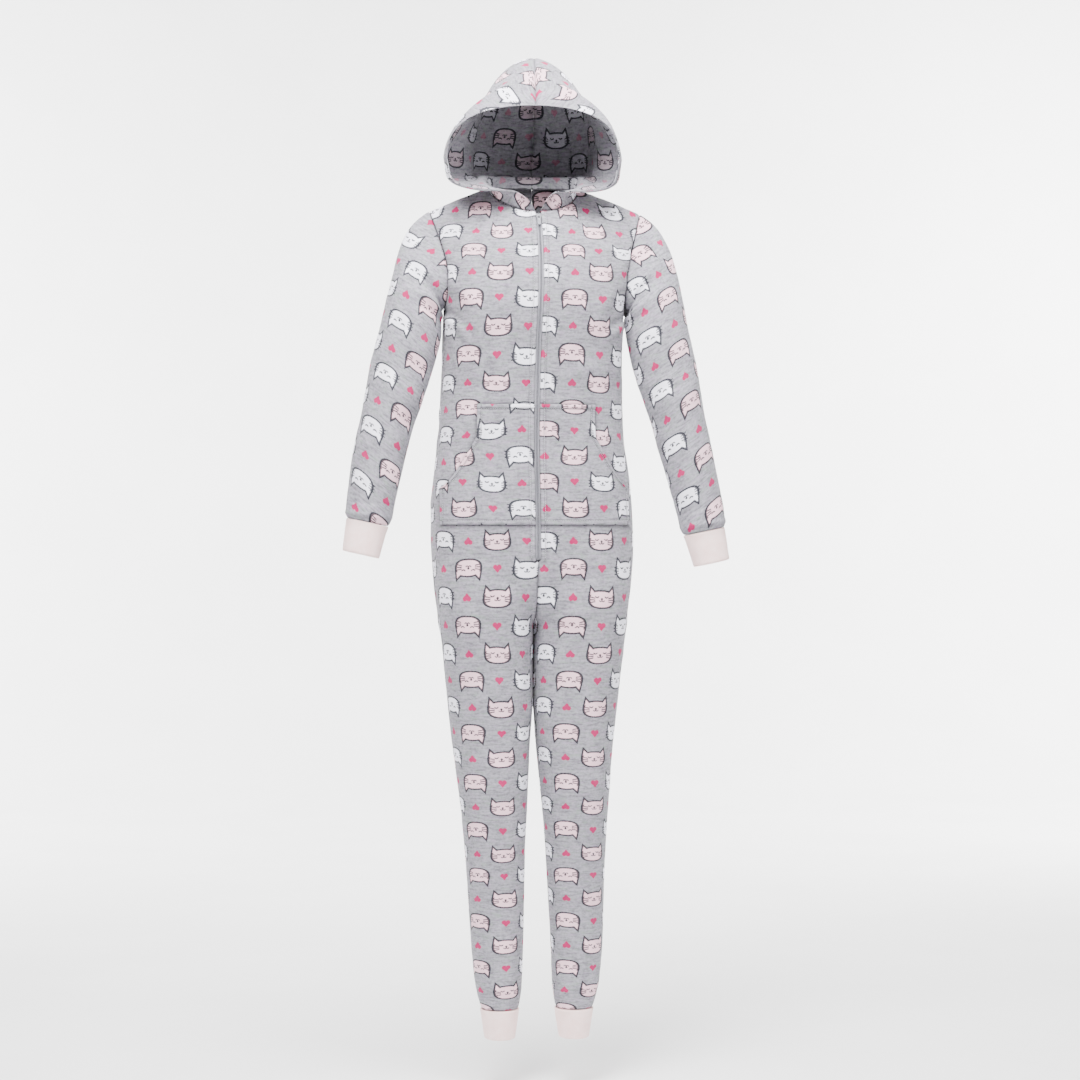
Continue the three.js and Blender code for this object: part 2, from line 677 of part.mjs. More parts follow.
// The pocket lies on the front panel's own points.
function pocketPanel(side) {
  const part = (grid) =>
    grid
      .slice(pocketStartRow, pocketStartRow + pocketLevels.length)
      .map((row) => row.slice(0, pocketColumns + 1));
  const base = part(surfaces.front.grid);
  const normals = part(surfaces.front.normals);
  const under = movedAlong(base, normals, seam);
  const over = movedAlong(base, normals, seam + pocketCloth);
  over.forEach((row, i) => row[1].addScaledVector(normals[i][1], ridgeHeight * 0.7));
  return wall(stand(over, side), stand(under, side));
}

// One side of the zip: its half of the coil in the middle, then the tape under the front's edge.
const zipProfile = [
  { x: seam / 2, depth: coilDepth },
  { x: 2.3, depth: coilDepth },
  { x: 2.7, depth: fleece + seam },
  { x: 8.5, depth: fleece + seam },
  { x: tapeHalf, depth: fleece + seam },
];
function zipSide(side) {
  const edge = surfaces.front.grid.map((row, i) => ({ p: row[0], ridge: row[2], normal: surfaces.front.normals[i][0] }));
  const rows = edge.filter(({ p }) => p.z > zipEndZ + 2);
  const flat = rows.map(({ normal }) => normal.clone().setX(0).normalize());
  const at = (row, x) => {
    const share = (x - row.p.x) / (row.ridge.x - row.p.x);
    return point(x, lerp(row.p.y, row.ridge.y, Math.max(0, share)), lerp(row.p.z, row.ridge.z, Math.max(0, share)));
  };
  const outer = rows.map((row, i) =>
    zipProfile.map(({ x, depth }) => at(row, x).addScaledVector(flat[i], -depth)),
  );
  const inner = rows.map((row, i) =>
    zipProfile.map(({ x }) => at(row, x).addScaledVector(flat[i], -tapeDepth)),
  );
  for (const layer of [outer, inner]) inset(layer, "first row", 1.5);
  return wall(stand(outer, side), stand(inner, side));
}

// The slider at the top of the zip, with the eye of its pull under an arch. Locally -Y is away from the chest.
const slider = { z: -58, half: 4.3, tall: 11, plate: 1.3, archWidth: 1.6, archReach: 3.4, window: 2.5, bar: 1 };
const pull = { half: 2.9, length: 19, thick: 1.2, top: 0.7, eyeHalf: 1.5, eyeEnd: 4.8 };
const pivotOut = 1.25; // the pull's axis in front of the slider's plate

function sliderFrame() {
  const at = bodyPoint(zipHalf, slider.z, -1);
  const outward = bodyNormal(at).setX(0).normalize();
  const inward = outward.clone().negate();
  const across = point(1, 0, 0);
  const up = across.clone().cross(inward);
  const origin = point(stance.sideways(at.z), at.y + stance.backwards(at.z), at.z);
  return new THREE.Matrix4().makeBasis(across, inward, up).setPosition(origin);
}

const chainFace = coilDepth - seam; // the plate's back, below the front's face
const plateFace = chainFace - slider.plate;
const pivotY = plateFace - pivotOut;

const outlineOf = (corners) => corners.map(([x, y]) => new THREE.Vector2(x, y));
const mirrored = (corners) => [...corners, ...corners.map(([x, y]) => [-x, y]).reverse()];

// A flat piece of an outline, with an opening through it.
function slab(corners, opening, thick) {
  const shape = new THREE.Shape(outlineOf(mirrored(corners)));
  if (opening) shape.holes.push(new THREE.Path(outlineOf(mirrored(opening))));
  return new THREE.ExtrudeGeometry(shape, { depth: thick, bevelEnabled: false });
}

// The solid of a geometry's positions, for joining.
function joinable(geometry) {
  geometry.deleteAttribute("normal");
  geometry.deleteAttribute("uv");
  const merged = mergeVertices(geometry);
  const vertProperties = Float32Array.from(merged.attributes.position.array);
  const triVerts = Uint32Array.from(merged.index.array);
  return new wasm.Manifold(new wasm.Mesh({ numProp: 3, vertProperties, triVerts }));
}

function sliderSolid() {
  const { half, tall, archWidth, archReach, window, bar } = slider;
  const plateCorners = [[half - 1.2, -tall / 2], [half, 0], [half, tall / 2 - 2.4], [half - 1.2, tall / 2]];
  const plate = slab(plateCorners, null, slider.plate).rotateX(Math.PI / 2).translate(0, chainFace, 0);
  const archCorners = [[archReach, plateFace - window - bar], [archReach, plateFace + 0.4]];
  const space = [[archReach - bar, plateFace - window], [archReach - bar, plateFace]];
  const arch = slab(archCorners, space, archWidth).rotateY(Math.PI / 2).translate(-archWidth / 2, 0, 0);
  return joinable(plate).add(joinable(arch));
}

function pullSolid() {
  const { half, length, thick, top, eyeHalf, eyeEnd } = pull;
  const corners = [[half - 1.2, -length], [half, 1.5 - length], [half, -eyeEnd - 2], [half - 0.6, top]];
  const eye = [[eyeHalf, -eyeEnd], [eyeHalf, -top]];
  return joinable(slab(corners, eye, thick).rotateX(Math.PI / 2).translate(0, pivotY + thick / 2, 0));
}

function placed(made) {
  const { vertProperties, triVerts } = made.getMesh();
  const geometry = new THREE.BufferGeometry();
  geometry.setAttribute("position", new THREE.Float32BufferAttribute(vertProperties, 3));
  geometry.setIndex([...triVerts]);
  geometry.applyMatrix4(sliderFrame());
  geometry.computeVertexNormals();
  return geometry;
}

// The seam over the hood's top and down its back, by share of its length from the face edge.
const hoodTopZ = (y) => {
  const ahead = Math.max(0, hood.apexY - y) / (hood.apexY - hood.rimTopY);
  return hood.apexZ - (hood.apexZ - hood.rimTopZ) * ahead * ahead;
};
const hoodWidestZ = (y) =>
  lerp(hood.rimWidestZ, hood.backZ, clamp((y - hood.rimWidestY) / (hood.backY - hood.rimWidestY), 0, 1));

function hoodHalfWidth(y, z) {
  const width = hoodSections.half(y);
  const power = hoodSections.power(y);
  const behind = Math.max(0, y - hood.apexY) / (hood.backY - hood.apexY);
  const low = hoodWidestZ(y);
  const above = clamp((z - low) / (hoodTopZ(y) - low), 0, 1);
  const room = 1 - behind ** power - above ** power;
  return width * Math.max(0, room) ** (1 / power);
}

// Points of the centre seam behind the apex, from straight up (0) to straight back (1).
function hoodBackSeam(share) {
  const turn = (share * Math.PI) / 2;
  const y = lerp(hood.apexY, hood.backY, Math.sin(turn) ** (2 / hood.power));
  const low = hoodWidestZ(y);
  return point(0, y, lerp(low, hood.apexZ, Math.cos(turn) ** (2 / hood.power)));
}

function hoodTopSeam(share) {
  const corner = hoodBackSeam(hood.seamCornerShare);
  const y = lerp(hood.rimTopY, corner.y, share);
  if (y <= hood.apexY) return point(0, y, hoodTopZ(y));
  const behind = (y - hood.apexY) / (hood.backY - hood.apexY);
  const above = (1 - behind ** hood.power) ** (1 / hood.power);
  return point(0, y, lerp(hoodWidestZ(y), hood.apexZ, above));
}

function hoodDome() {
  const shares = steps(hoodColumns);
  const widest = shares.map((share) => {
    const y = lerp(hood.rimWidestY, hood.backY, Math.sin((share * Math.PI) / 2) ** 0.9);
    return point(0, y, hoodWidestZ(y));
  });
  const top = shares.map((share) => hoodTopSeam(share));
  return steps(hoodDomeRows).map((_, i) => {
    const turn = ((i / hoodDomeRows) * Math.PI) / 2;
    const up = Math.sin(turn);
    const rimY = lerp(hood.rimWidestY, hood.rimTopY, up ** 1.6);
    const back = hoodBackSeam(lerp(1, hood.seamCornerShare, i / hoodDomeRows));
    return shares.map((share, j) => {
      const y = lerp(widest[j].y, top[j].y, up);
      const z = lerp(widest[j].z, top[j].z, up);
      const straightRimY = lerp(hood.rimWidestY, hood.rimTopY, up);
      const straightBack = widest[hoodColumns].clone().lerp(top[hoodColumns], up);
      const placedY = y + (1 - share) * (rimY - straightRimY) + share * (back.y - straightBack.y);
      const placedZ = z + share * (back.z - straightBack.z);
      const isSeam = i === hoodDomeRows || j === hoodColumns;
      return point(isSeam ? 0 : hoodHalfWidth(placedY, placedZ), placedY, placedZ);
    });
  });
}

// The neckline in space, from the zip (0) to the centre back (1).
function necklinePoint(share) {
  const turn = share * Math.PI;
  const x = Math.max(zipHalf, neckHalf * Math.sin(turn));
  const isFront = share < 0.5;
  const rise = Math.sqrt(Math.max(0, 1 - (x / neckHalf) ** 2));
  const z = (isFront ? frontNeckZ : backNeckZ) * rise;
  const placed = bodyPoint(x, Math.min(z, shoulderLine(x) - 0.01), isFront ? -1 : 1);
  return isFront ? placed : placed.setX(neckHalf * Math.sin(turn));
}

function hoodGrid() {
  const dome = hoodDome();
  const roll = steps(hoodRollRows).slice(0, -1).map((row) =>
    dome[0].map((widest, j) => {
      const backward = (widest.y - hood.rimWidestY) / (hood.backY - hood.rimWidestY);
      const neck = necklinePoint(Math.acos(clamp(1 - 2 * backward, -1, 1)) / Math.PI);
      const out = collarRoll.out(row);
      const forward = collarRoll.forward(row) * (1 - backward) ** 2;
      return point(
        lerp(neck.x, widest.x, out),
        lerp(neck.y, widest.y, out) - forward,
        lerp(neck.z, widest.z, collarRoll.up(row)) + (row === 0 ? 3 * seam : 0),
      );
    }),
  );
  return [...roll, ...dome];
}

function hoodNormals(grid) {
  const normals = gridNormals(grid);
  const lastRow = grid.length - 1;
  for (const row of normals) row[hoodColumns].setX(0).normalize();
  for (const normal of normals[lastRow]) normal.setX(0).normalize();
  const beforeCorner = normals[lastRow][hoodColumns - 1].clone();
  normals[lastRow][hoodColumns] = beforeCorner.add(normals[lastRow - 1][hoodColumns]).normalize();
  const middle = grid[hoodRollRows][1];
  const facesOut = normals[hoodRollRows][1].dot(point(middle.x, 0, 0)) > 0;
  return facesOut ? normals : normals.map((row) => row.map((normal) => normal.negate()));
}

function hoodPanel(side, startDepth, thickness) {
  const grid = hoodGrid();
  const normals = hoodNormals(grid);
  const outer = movedAlong(grid, normals, -startDepth);
  const inner = movedAlong(grid, normals, -startDepth - thickness);
  for (const layer of [outer, inner]) {
    layer.forEach((row) => row[hoodColumns].setX(seam / 2));
    layer[layer.length - 1].forEach((p) => p.setX(seam / 2));
    layer.forEach((row) => row.forEach((p) => p.setX(Math.max(p.x, seam / 2))));
  }
  return wall(stand(outer, side), stand(inner, side));
}

const materials = {
  marl: new THREE.MeshStandardMaterial({ color: 0xb9b8bd, roughness: 0.95, metalness: 0 }),
  rib: new THREE.MeshStandardMaterial({ color: 0xf0d8d5, roughness: 0.9, metalness: 0 }),
  tape: new THREE.MeshStandardMaterial({ color: 0xa3a3a9, roughness: 0.85, metalness: 0 }),
  slider: new THREE.MeshStandardMaterial({ color: 0xb4b4b8, roughness: 0.4, metalness: 0.6 }),
};

const onesie = new THREE.Group();
function add(name, geometry, material) {
  const mesh = new THREE.Mesh(geometry, material);
  mesh.name = name;
  onesie.add(mesh);
}

for (const [sideName, side] of [["left", 1], ["right", -1]]) {
  add(`front_${sideName}`, bodyPanel(-1, side), materials.marl);
  add(`back_${sideName}`, bodyPanel(1, side), materials.marl);
  add(`sleeve_${sideName}`, sleeveTube(sideName, side), materials.marl);
  add(`hood_${sideName}`, hoodPanel(side, 0, fleece), materials.marl);
  add(`hood_lining_${sideName}`, hoodPanel(side, fleece + seam, lining), materials.marl);
  add(`pocket_${sideName}`, pocketPanel(side), materials.marl);
  add(`zip_${sideName}`, zipSide(side), materials.tape);
  add(`wrist_cuff_${sideName}`, wristCuff(sideName, side), materials.rib);
  add(`ankle_cuff_${sideName}`, ankleCuff(side), materials.rib);
}

add("zip_slider", placed(sliderSolid()), materials.slider);
add("zip_pull", placed(pullSolid()), materials.slider);

export default onesie;
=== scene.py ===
import math
from functools import partialmethod

import bmesh
import bpy
import numpy as np
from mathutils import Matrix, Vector


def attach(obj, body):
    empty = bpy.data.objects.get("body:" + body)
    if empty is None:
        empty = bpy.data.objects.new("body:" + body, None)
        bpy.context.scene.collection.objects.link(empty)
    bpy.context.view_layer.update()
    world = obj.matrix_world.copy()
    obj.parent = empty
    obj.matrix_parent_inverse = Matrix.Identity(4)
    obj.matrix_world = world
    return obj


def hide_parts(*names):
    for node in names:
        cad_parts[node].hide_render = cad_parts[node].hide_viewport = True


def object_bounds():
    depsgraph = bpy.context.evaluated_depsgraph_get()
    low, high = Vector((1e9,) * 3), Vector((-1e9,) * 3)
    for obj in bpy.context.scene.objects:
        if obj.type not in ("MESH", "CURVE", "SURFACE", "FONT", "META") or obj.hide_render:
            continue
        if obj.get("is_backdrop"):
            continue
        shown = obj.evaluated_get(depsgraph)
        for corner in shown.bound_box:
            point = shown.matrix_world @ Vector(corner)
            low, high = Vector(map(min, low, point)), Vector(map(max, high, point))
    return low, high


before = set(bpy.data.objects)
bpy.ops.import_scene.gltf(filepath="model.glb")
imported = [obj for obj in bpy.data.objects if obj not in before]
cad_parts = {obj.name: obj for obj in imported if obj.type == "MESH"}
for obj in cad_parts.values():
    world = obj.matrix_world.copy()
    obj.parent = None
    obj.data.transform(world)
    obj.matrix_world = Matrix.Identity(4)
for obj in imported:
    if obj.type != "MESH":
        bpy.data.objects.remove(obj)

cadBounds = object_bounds()
scene = bpy.context.scene
mm = 0.001  # shapes are worked out in millimetres and stored in metres
sides = {1: "left", -1: "right"}  # as the wearer has them
print("frame loaded")

# Camera, in front of the garment at half its height.
cameraPlace = {"azimuth": -6.0, "distance": 4.2, "aimZ": -0.616, "aimAside": 0.0131, "seenWidth": 1.89}


def makeCamera(place):
    turn = math.radians(place["azimuth"])
    back = Vector((math.sin(turn), -math.cos(turn), 0))
    aside = Vector((math.cos(turn), math.sin(turn), 0)) * place["aimAside"]
    data = bpy.data.cameras.new("camera")
    data.sensor_width = 36
    data.lens = data.sensor_width * place["distance"] / place["seenWidth"]
    camera = bpy.data.objects.new("camera", data)
    camera.location = aside + Vector((0, 0, place["aimZ"])) + back * place["distance"]
    camera.rotation_euler = back.to_track_quat("Z", "Y").to_euler()
    scene.collection.objects.link(camera)
    scene.camera = camera


makeCamera(cameraPlace)
print("camera placed")


# Small tools for shapes.
def lerp(a, b, share):
    return a + (b - a) * share


def eased(share):
    return (1 - np.cos(np.pi * share)) / 2


def clamp(value, low=0.0, high=1.0):
    return np.clip(value, low, high)


def gauss(distance):
    return np.exp(-distance * distance)


def unit(vectors):
    return vectors / np.maximum(np.linalg.norm(vectors, axis=-1, keepdims=True), 1e-9)


# One column of a table as a smooth curve that never overshoots its rows.
def smoothColumn(keys, values):
    slopes = np.diff(values) / np.diff(keys)
    before, after = slopes[:-1], slopes[1:]
    total = np.where(before + after == 0, 1, before + after)
    inside = np.where(before * after <= 0, 0, 2 * before * after / total)
    tangents = np.concatenate([slopes[:1], inside, slopes[-1:]])

    def valueAt(key):
        at = np.clip(key, keys[0], keys[-1])
        i = np.clip(np.searchsorted(keys, at, side="right") - 1, 0, len(keys) - 2)
        span = keys[i + 1] - keys[i]
        t = (at - keys[i]) / span
        pull = span * t * (1 - t) * (tangents[i] * (1 - t) - tangents[i + 1] * t)
        return values[i] + (values[i + 1] - values[i]) * t * t * (3 - 2 * t) + pull

    return valueAt


def table(names, rows):
    ordered = np.array(sorted(rows), float)
    return {name: smoothColumn(ordered[:, 0], ordered[:, i]) for i, name in enumerate(names)}


# Soft unevenness between -1 and 1, the same on each run.
def softNoise(u, v, cell, seed):
    lattice = np.random.default_rng(seed).uniform(-1, 1, (97, 97))
    u, v = np.broadcast_arrays(np.asarray(u) / cell, np.asarray(v) / cell)
    i, j = np.floor(u).astype(int), np.floor(v).astype(int)
    a, b = u - i, v - j
    a, b = a * a * (3 - 2 * a), b * b * (3 - 2 * b)
    corner = lambda di, dj: lattice[(i + di) % 97, (j + dj) % 97]
    return lerp(lerp(corner(0, 0), corner(1, 0), a), lerp(corner(0, 1), corner(1, 1), a), b)


def lengthsAlong(grid, axis):
    steps = np.linalg.norm(np.diff(grid, axis=axis), axis=-1)
    pad = [(1, 0) if k == axis else (0, 0) for k in range(2)]
    return np.pad(np.cumsum(steps, axis=axis), pad)


# Distances from each edge of a grid: its first and last column, then its first and last row.
def edgeDistances(grid):
    across, down = lengthsAlong(grid, 1), lengthsAlong(grid, 0)
    return across, across[:, -1:] - across, down, down[-1:] - down


def gridNormals(grid, isTube=False):
    across = np.roll(grid, -1, axis=1) - np.roll(grid, 1, axis=1) if isTube else np.gradient(grid, axis=1)
    return unit(np.cross(across, np.gradient(grid, axis=0)))


def facing(normals, outward):
    return normals if np.sum(normals * outward) > 0 else -normals


def moved(grid, normals, distance):
    return grid + normals * np.asarray(distance)[..., None]


# The cut of a piece before it is sewn: width, length and area in metres.
def cutOf(grid, isTube=False):
    closed = np.concatenate([grid, grid[:, :1]], axis=1) if isTube else grid
    a, b = closed[1:, :-1] - closed[:-1, :-1], closed[:-1, 1:] - closed[:-1, :-1]
    area = np.sum(np.linalg.norm(np.cross(a, b), axis=-1)) * mm * mm
    width, length = lengthsAlong(closed, 1).max() * mm, lengthsAlong(closed, 0).max() * mm
    return {"flat": (width, length), "area": float(min(max(area, 0.31 * width * length), width * length))}


edgeRound = 0.42  # how far a cut edge bulges, as a share of the wall


# Welds points that lie together and, where an angle is given, faces that lie flat to each other.
def weld(mesh, flatAngle=None):
    bm = bmesh.new()
    bm.from_mesh(mesh)
    bmesh.ops.remove_doubles(bm, verts=bm.verts, dist=1e-6)
    if flatAngle:
        bmesh.ops.dissolve_limit(bm, angle_limit=flatAngle, verts=bm.verts, edges=bm.edges)
    bm.to_mesh(mesh)
    bm.free()
    mesh.polygons.foreach_set("use_smooth", [True] * len(mesh.polygons))


# A closed wall between two grids, with rounded edges. A tube's columns wrap round.
def wallMesh(name, outer, inner, uv, isTube=False, paintedShade=None):
    rows, columns = outer.shape[:2]

    def rim(edge, neighbour, innerEdge):
        thick = np.linalg.norm(edge - innerEdge, axis=-1, keepdims=True)
        return (edge + innerEdge) / 2 + unit(edge - neighbour) * thick * edgeRound

    rims = [rim(outer[0], outer[1], inner[0]), rim(outer[-1], outer[-2], inner[-1])]
    if not isTube:
        rims += [rim(outer[:, k], outer[:, beside], inner[:, k]) for k, beside in ((0, 1), (-1, -2))]
        # at a corner the two rims share one point
        for rowRim, row in ((rims[0], 0), (rims[1], -1)):
            for columnRim, column in ((rims[2], 0), (rims[3], -1)):
                rowRim[column] = columnRim[row] = (rowRim[column] + columnRim[row]) / 2
    points = np.concatenate([outer.reshape(-1, 3), inner.reshape(-1, 3), *rims])
    starts = np.cumsum([2 * rows * columns, *[len(r) for r in rims]])
    at = lambda layer, i, j: (layer * rows + i) * columns + j % columns
    quads, corners = [], []

    def add(isTurned, *ring):
        ring = ring[::-1] if isTurned else ring
        quads.append(np.stack([np.ravel(index) for index, _, _ in ring], axis=1))
        corners.append(np.stack([uv[np.ravel(i), np.ravel(j)] for _, i, j in ring], axis=1))

    steps = (rows - 1, columns if isTube else columns - 1)
    i, j = np.meshgrid(np.arange(steps[0]), np.arange(steps[1]), indexing="ij")
    for layer, cells in ((0, ((0, 0), (0, 1), (1, 1), (1, 0))), (1, ((0, 0), (1, 0), (1, 1), (0, 1)))):
        add(False, *[(at(layer, i + di, j + dj), i + di, j + dj) for di, dj in cells])
    edges = [(steps[1], 0), (steps[1], rows - 1), (steps[0], 0), (steps[0], columns - 1)]
    for index, (count, line) in enumerate(edges):
        if index == len(rims):
            break
        isRow = index < 2
        near, far = np.arange(count), np.arange(count) + 1
        cell = lambda k: (np.full(k.shape, line), k) if isRow else (k, np.full(k.shape, line))
        middle = lambda k: starts[index] + (k % columns if isRow else k)
        for layer in (0, 1):
            ends = [(at(layer, *cell(k)), *cell(k)) for k in (near, far)]
            bulge = [(middle(k), *cell(k)) for k in (near, far)]
            add(index % 2 != layer, ends[0], *bulge, ends[1])
    quads, corners = np.concatenate(quads), np.concatenate(corners)
    a, b, c = (points[quads[:, k]] for k in range(3))
    if np.sum(a * np.cross(b, c)) < 0:
        quads, corners = quads[:, ::-1], corners[:, ::-1]
    # painted shade at each point, stored as an attribute: the outer face's own, none on the inner face, and
    # the edge's on each rim
    depths = np.zeros(len(points))
    if paintedShade is not None:
        beside = [] if isTube else [paintedShade[:, 0], paintedShade[:, -1]]
        depths = np.concatenate([paintedShade.ravel(), 0 * paintedShade.ravel(), paintedShade[0], paintedShade[-1], *beside])
    mesh = bpy.data.meshes.new(name)
    mesh.from_pydata((points * mm).tolist(), [], quads.tolist())
    mesh.uv_layers.new(name="cut").data.foreach_set("uv", (corners.reshape(-1, 2) * mm).ravel())
    mesh.attributes.new("paintedShade", "FLOAT", "POINT").data.foreach_set("value", depths)
    weld(mesh)
    mesh.update()
    return mesh


def addPiece(name, mesh, material, body="garment", nodes=()):
    piece = bpy.data.objects.new(name, mesh)
    scene.collection.objects.link(piece)
    mesh.materials.clear()
    mesh.materials.append(material)
    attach(piece, body)
    if nodes:
        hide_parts(*nodes)
    return piece


# Colours as they look on a screen.
def screenColour(red, green, blue):
    shares = [value / 255 for value in (red, green, blue)]
    return (*[s / 12.92 if s <= 0.04045 else ((s + 0.055) / 1.055) ** 2.4 for s in shares], 1.0)


# Nodes of a material, written as short calls. Inputs are given by name or by place, as values or as outputs.
class MaterialMaker:
    def __init__(self, name):
        self.material = bpy.data.materials.new(name)
        self.material.use_nodes = True
        self.tree = self.material.node_tree
        self.shader = self.tree.nodes["Principled BSDF"]
        self.fill(self.shader, {"Specular IOR Level": 0.25})

    def fill(self, node, inputs):
        for name, value in inputs.items():
            if isinstance(value, bpy.types.NodeSocket):
                self.tree.links.new(value, node.inputs[name])
            else:
                node.inputs[name].default_value = value

    def add(self, kind, inputs, **settings):
        node = self.tree.nodes.new("ShaderNode" + kind)
        for name, value in settings.items():
            setattr(node, name, value)
        self.fill(node, inputs)
        return node

    def math(self, operation, *values, isClamped=False):
        return self.add("Math", dict(enumerate(values)), operation=operation, use_clamp=isClamped).outputs[0]

    plus = partialmethod(math, "ADD")
    minus = partialmethod(math, "SUBTRACT")
    times = partialmethod(math, "MULTIPLY")
    scaled = partialmethod(math, "MULTIPLY_ADD")
    size = partialmethod(math, "ABSOLUTE")
    lesser = partialmethod(math, "MINIMUM")
    greater = partialmethod(math, "MAXIMUM")

    def join(self, x, y, z):
        return self.add("CombineXYZ", {"X": x, "Y": y, "Z": z}).outputs[0]

    def split(self, vector):
        return tuple(self.add("SeparateXYZ", {0: vector}).outputs)

    def noise(self, vector, scale, detail=2.0, roughness=0.5):
        inputs = {"Vector": vector, "Scale": scale, "Detail": detail, "Roughness": roughness}
        return self.add("TexNoise", inputs).outputs["Fac"]

    def smooth(self, value, low, high, atLow=0.0, atHigh=1.0):
        inputs = {"Value": value, "From Min": low, "From Max": high, "To Min": atLow, "To Max": atHigh}
        return self.add("MapRange", inputs, interpolation_type="SMOOTHSTEP").outputs["Result"]

    # full at low, and gone at high
    def fade(self, value, low, high):
        return self.smooth(value, low, high, 1.0, 0.0)

    # the colour inputs of a mix are found by place, because each name is there four times
    def mix(self, share, first, second):
        return self.add("Mix", {0: share, 6: first, 7: second}, data_type="RGBA").outputs[2]

    def coordinates(self, kind):
        return self.add("TexCoord", {}).outputs[kind]

    def bump(self, height, distance, strength=1.0):
        node = self.add("Bump", {"Strength": strength, "Distance": distance, "Height": height})
        self.fill(self.shader, {"Normal": node.outputs["Normal"]})

    def sheen(self):
        self.fill(self.shader, {"Sheen Weight": 0.08, "Sheen Roughness": 0.5})

    def finish(self, colour, roughness):
        self.fill(self.shader, {"Base Color": colour, "Roughness": roughness})
        return self.material


# The printed fleece. Columns of cats' faces, each half a repeat above the next, with hearts between the cats.
# The columns go white upside down, pink upside down, pink upright, white upright.
printRepeat = {
    "columnWidth": 51.0,
    "pitch": 95.0,
    "faceHalf": 22.5,
    "faceTall": 14.2,
    "faceDrop": 2.5,
    "roundness": 2.5,
    "earTip": (20.0, 18.0),
    "outline": 1.5,
    "blur": 0.55,
    "wander": 5.0,
    "fuzz": 0.9,
}
fleeceColours = {
    "light": screenColour(155, 153, 161),
    "dark": screenColour(96, 93, 102),
    "green": screenColour(133, 148, 136),
    "lilac": screenColour(150, 133, 156),
    "white": screenColour(243, 241, 253),
    "pink": screenColour(236, 196, 207),
    "ink": screenColour(12, 14, 24),
    "heart": screenColour(166, 0, 82),
}


def drawMotifs(make, u, v, isOdd):
    wide, pitch = printRepeat["columnWidth"] * 2, printRepeat["pitch"]
    # the cell that a place is in, and the place inside it
    nearest = lambda value, period: make.math("FLOOR", make.scaled(value, 1 / period, 0.5))
    within = lambda value, period: make.scaled(nearest(value, period), -period, value)
    fromColumn = make.minus(u, wide / 2 if isOdd else 0.0)
    isUp = make.math("FLOORED_MODULO", nearest(fromColumn, wide), 2.0)
    upward = make.scaled(isUp, 2.0, -1.0)
    x = within(fromColumn, wide)
    side = make.size(x)
    catRow = make.minus(v, pitch / 2 if isOdd else 0.0)
    heartRow = make.minus(v, 0.0 if isOdd else pitch / 2)
    y = make.times(within(catRow, pitch), upward)
    heartY = make.times(within(heartRow, pitch), upward)
    isWhite = isUp if isOdd else make.minus(1.0, isUp)

    def distanceTo(px, py, acrossX, acrossY):
        dx, dy = make.minus(acrossX, px), make.minus(acrossY, py)
        return make.math("SQRT", make.scaled(dx, dx, make.times(dy, dy)))

    def line(distance, half):
        return make.fade(distance, half - printRepeat["blur"] * 0.6, half + printRepeat["blur"])

    # the face is a wide rounded bowl
    power = printRepeat["roundness"]
    across = make.math("POWER", make.math("DIVIDE", side, printRepeat["faceHalf"]), power)
    drop = make.size(make.plus(y, printRepeat["faceDrop"]))
    down = make.math("POWER", make.math("DIVIDE", drop, printRepeat["faceTall"]), power)
    bowl = make.math("POWER", make.plus(across, down), 1 / power)
    face = make.scaled(bowl, 16.0, -16.0)
    # an ear is the corner between two slanting edges
    tipX, tipY = printRepeat["earTip"]
    earX, earY = make.minus(side, tipX), make.minus(y, tipY)
    inner = make.scaled(earX, -0.74, make.times(earY, 0.67))
    outer = make.scaled(earX, 0.985, make.times(earY, 0.17))
    ear = make.math("SMOOTH_MAX", inner, outer, 1.2)
    ear = make.greater(ear, make.scaled(y, -1.0, 3.0))
    cat = make.math("SMOOTH_MIN", face, ear, 1.5)
    fill = make.fade(cat, -0.5, 0.4)
    ink = line(make.size(cat), printRepeat["outline"])

    # closed eyes, nose and mouth
    eyeHalf = make.scaled(isWhite, 0.2, 0.95)
    eye = make.size(make.minus(distanceTo(8.6, 3.6, side, y), 3.1))
    eyeInk = make.fade(make.minus(eye, eyeHalf), -0.3, 0.5)
    eyeInk = make.times(eyeInk, make.fade(y, 2.2, 3.2))
    nose = line(distanceTo(0.0, -1.9, side, y), 2.0)
    mouth = make.size(make.minus(distanceTo(2.3, -3.6, side, y), 2.2))
    mouthInk = make.times(line(mouth, 0.8), make.fade(y, -4.1, -3.4))
    # three whiskers: white cats' reach out past the face, pink cats' lie on the cheeks
    fan = make.size(make.plus(y, 3.6))
    spread = make.scaled(side, 0.2, 0.4)
    outerWhisker = make.size(make.minus(fan, spread))
    whisker = line(make.lesser(fan, outerWhisker), 0.9)
    start = make.scaled(isWhite, 4.5, 11.5)
    end = make.scaled(isWhite, 6.0, 20.5)
    whisker = make.times(whisker, make.smooth(make.minus(side, start), -0.5, 0.8))
    whisker = make.times(whisker, make.fade(make.minus(side, end), -0.5, 0.8))
    for mark in (eyeInk, nose, mouthInk, whisker):
        ink = make.greater(ink, mark)

    # a heart: two round lobes over a point
    lobe = make.minus(distanceTo(3.4, 1.9, side, heartY), 4.1)
    slant = make.scaled(side, 0.77, make.scaled(heartY, -0.64, -5.0))
    tail = make.greater(slant, make.minus(heartY, 1.6))
    heart = make.fade(make.lesser(lobe, tail), -0.5, 0.6)
    return {"fill": fill, "ink": ink, "isWhite": isWhite, "heart": heart}
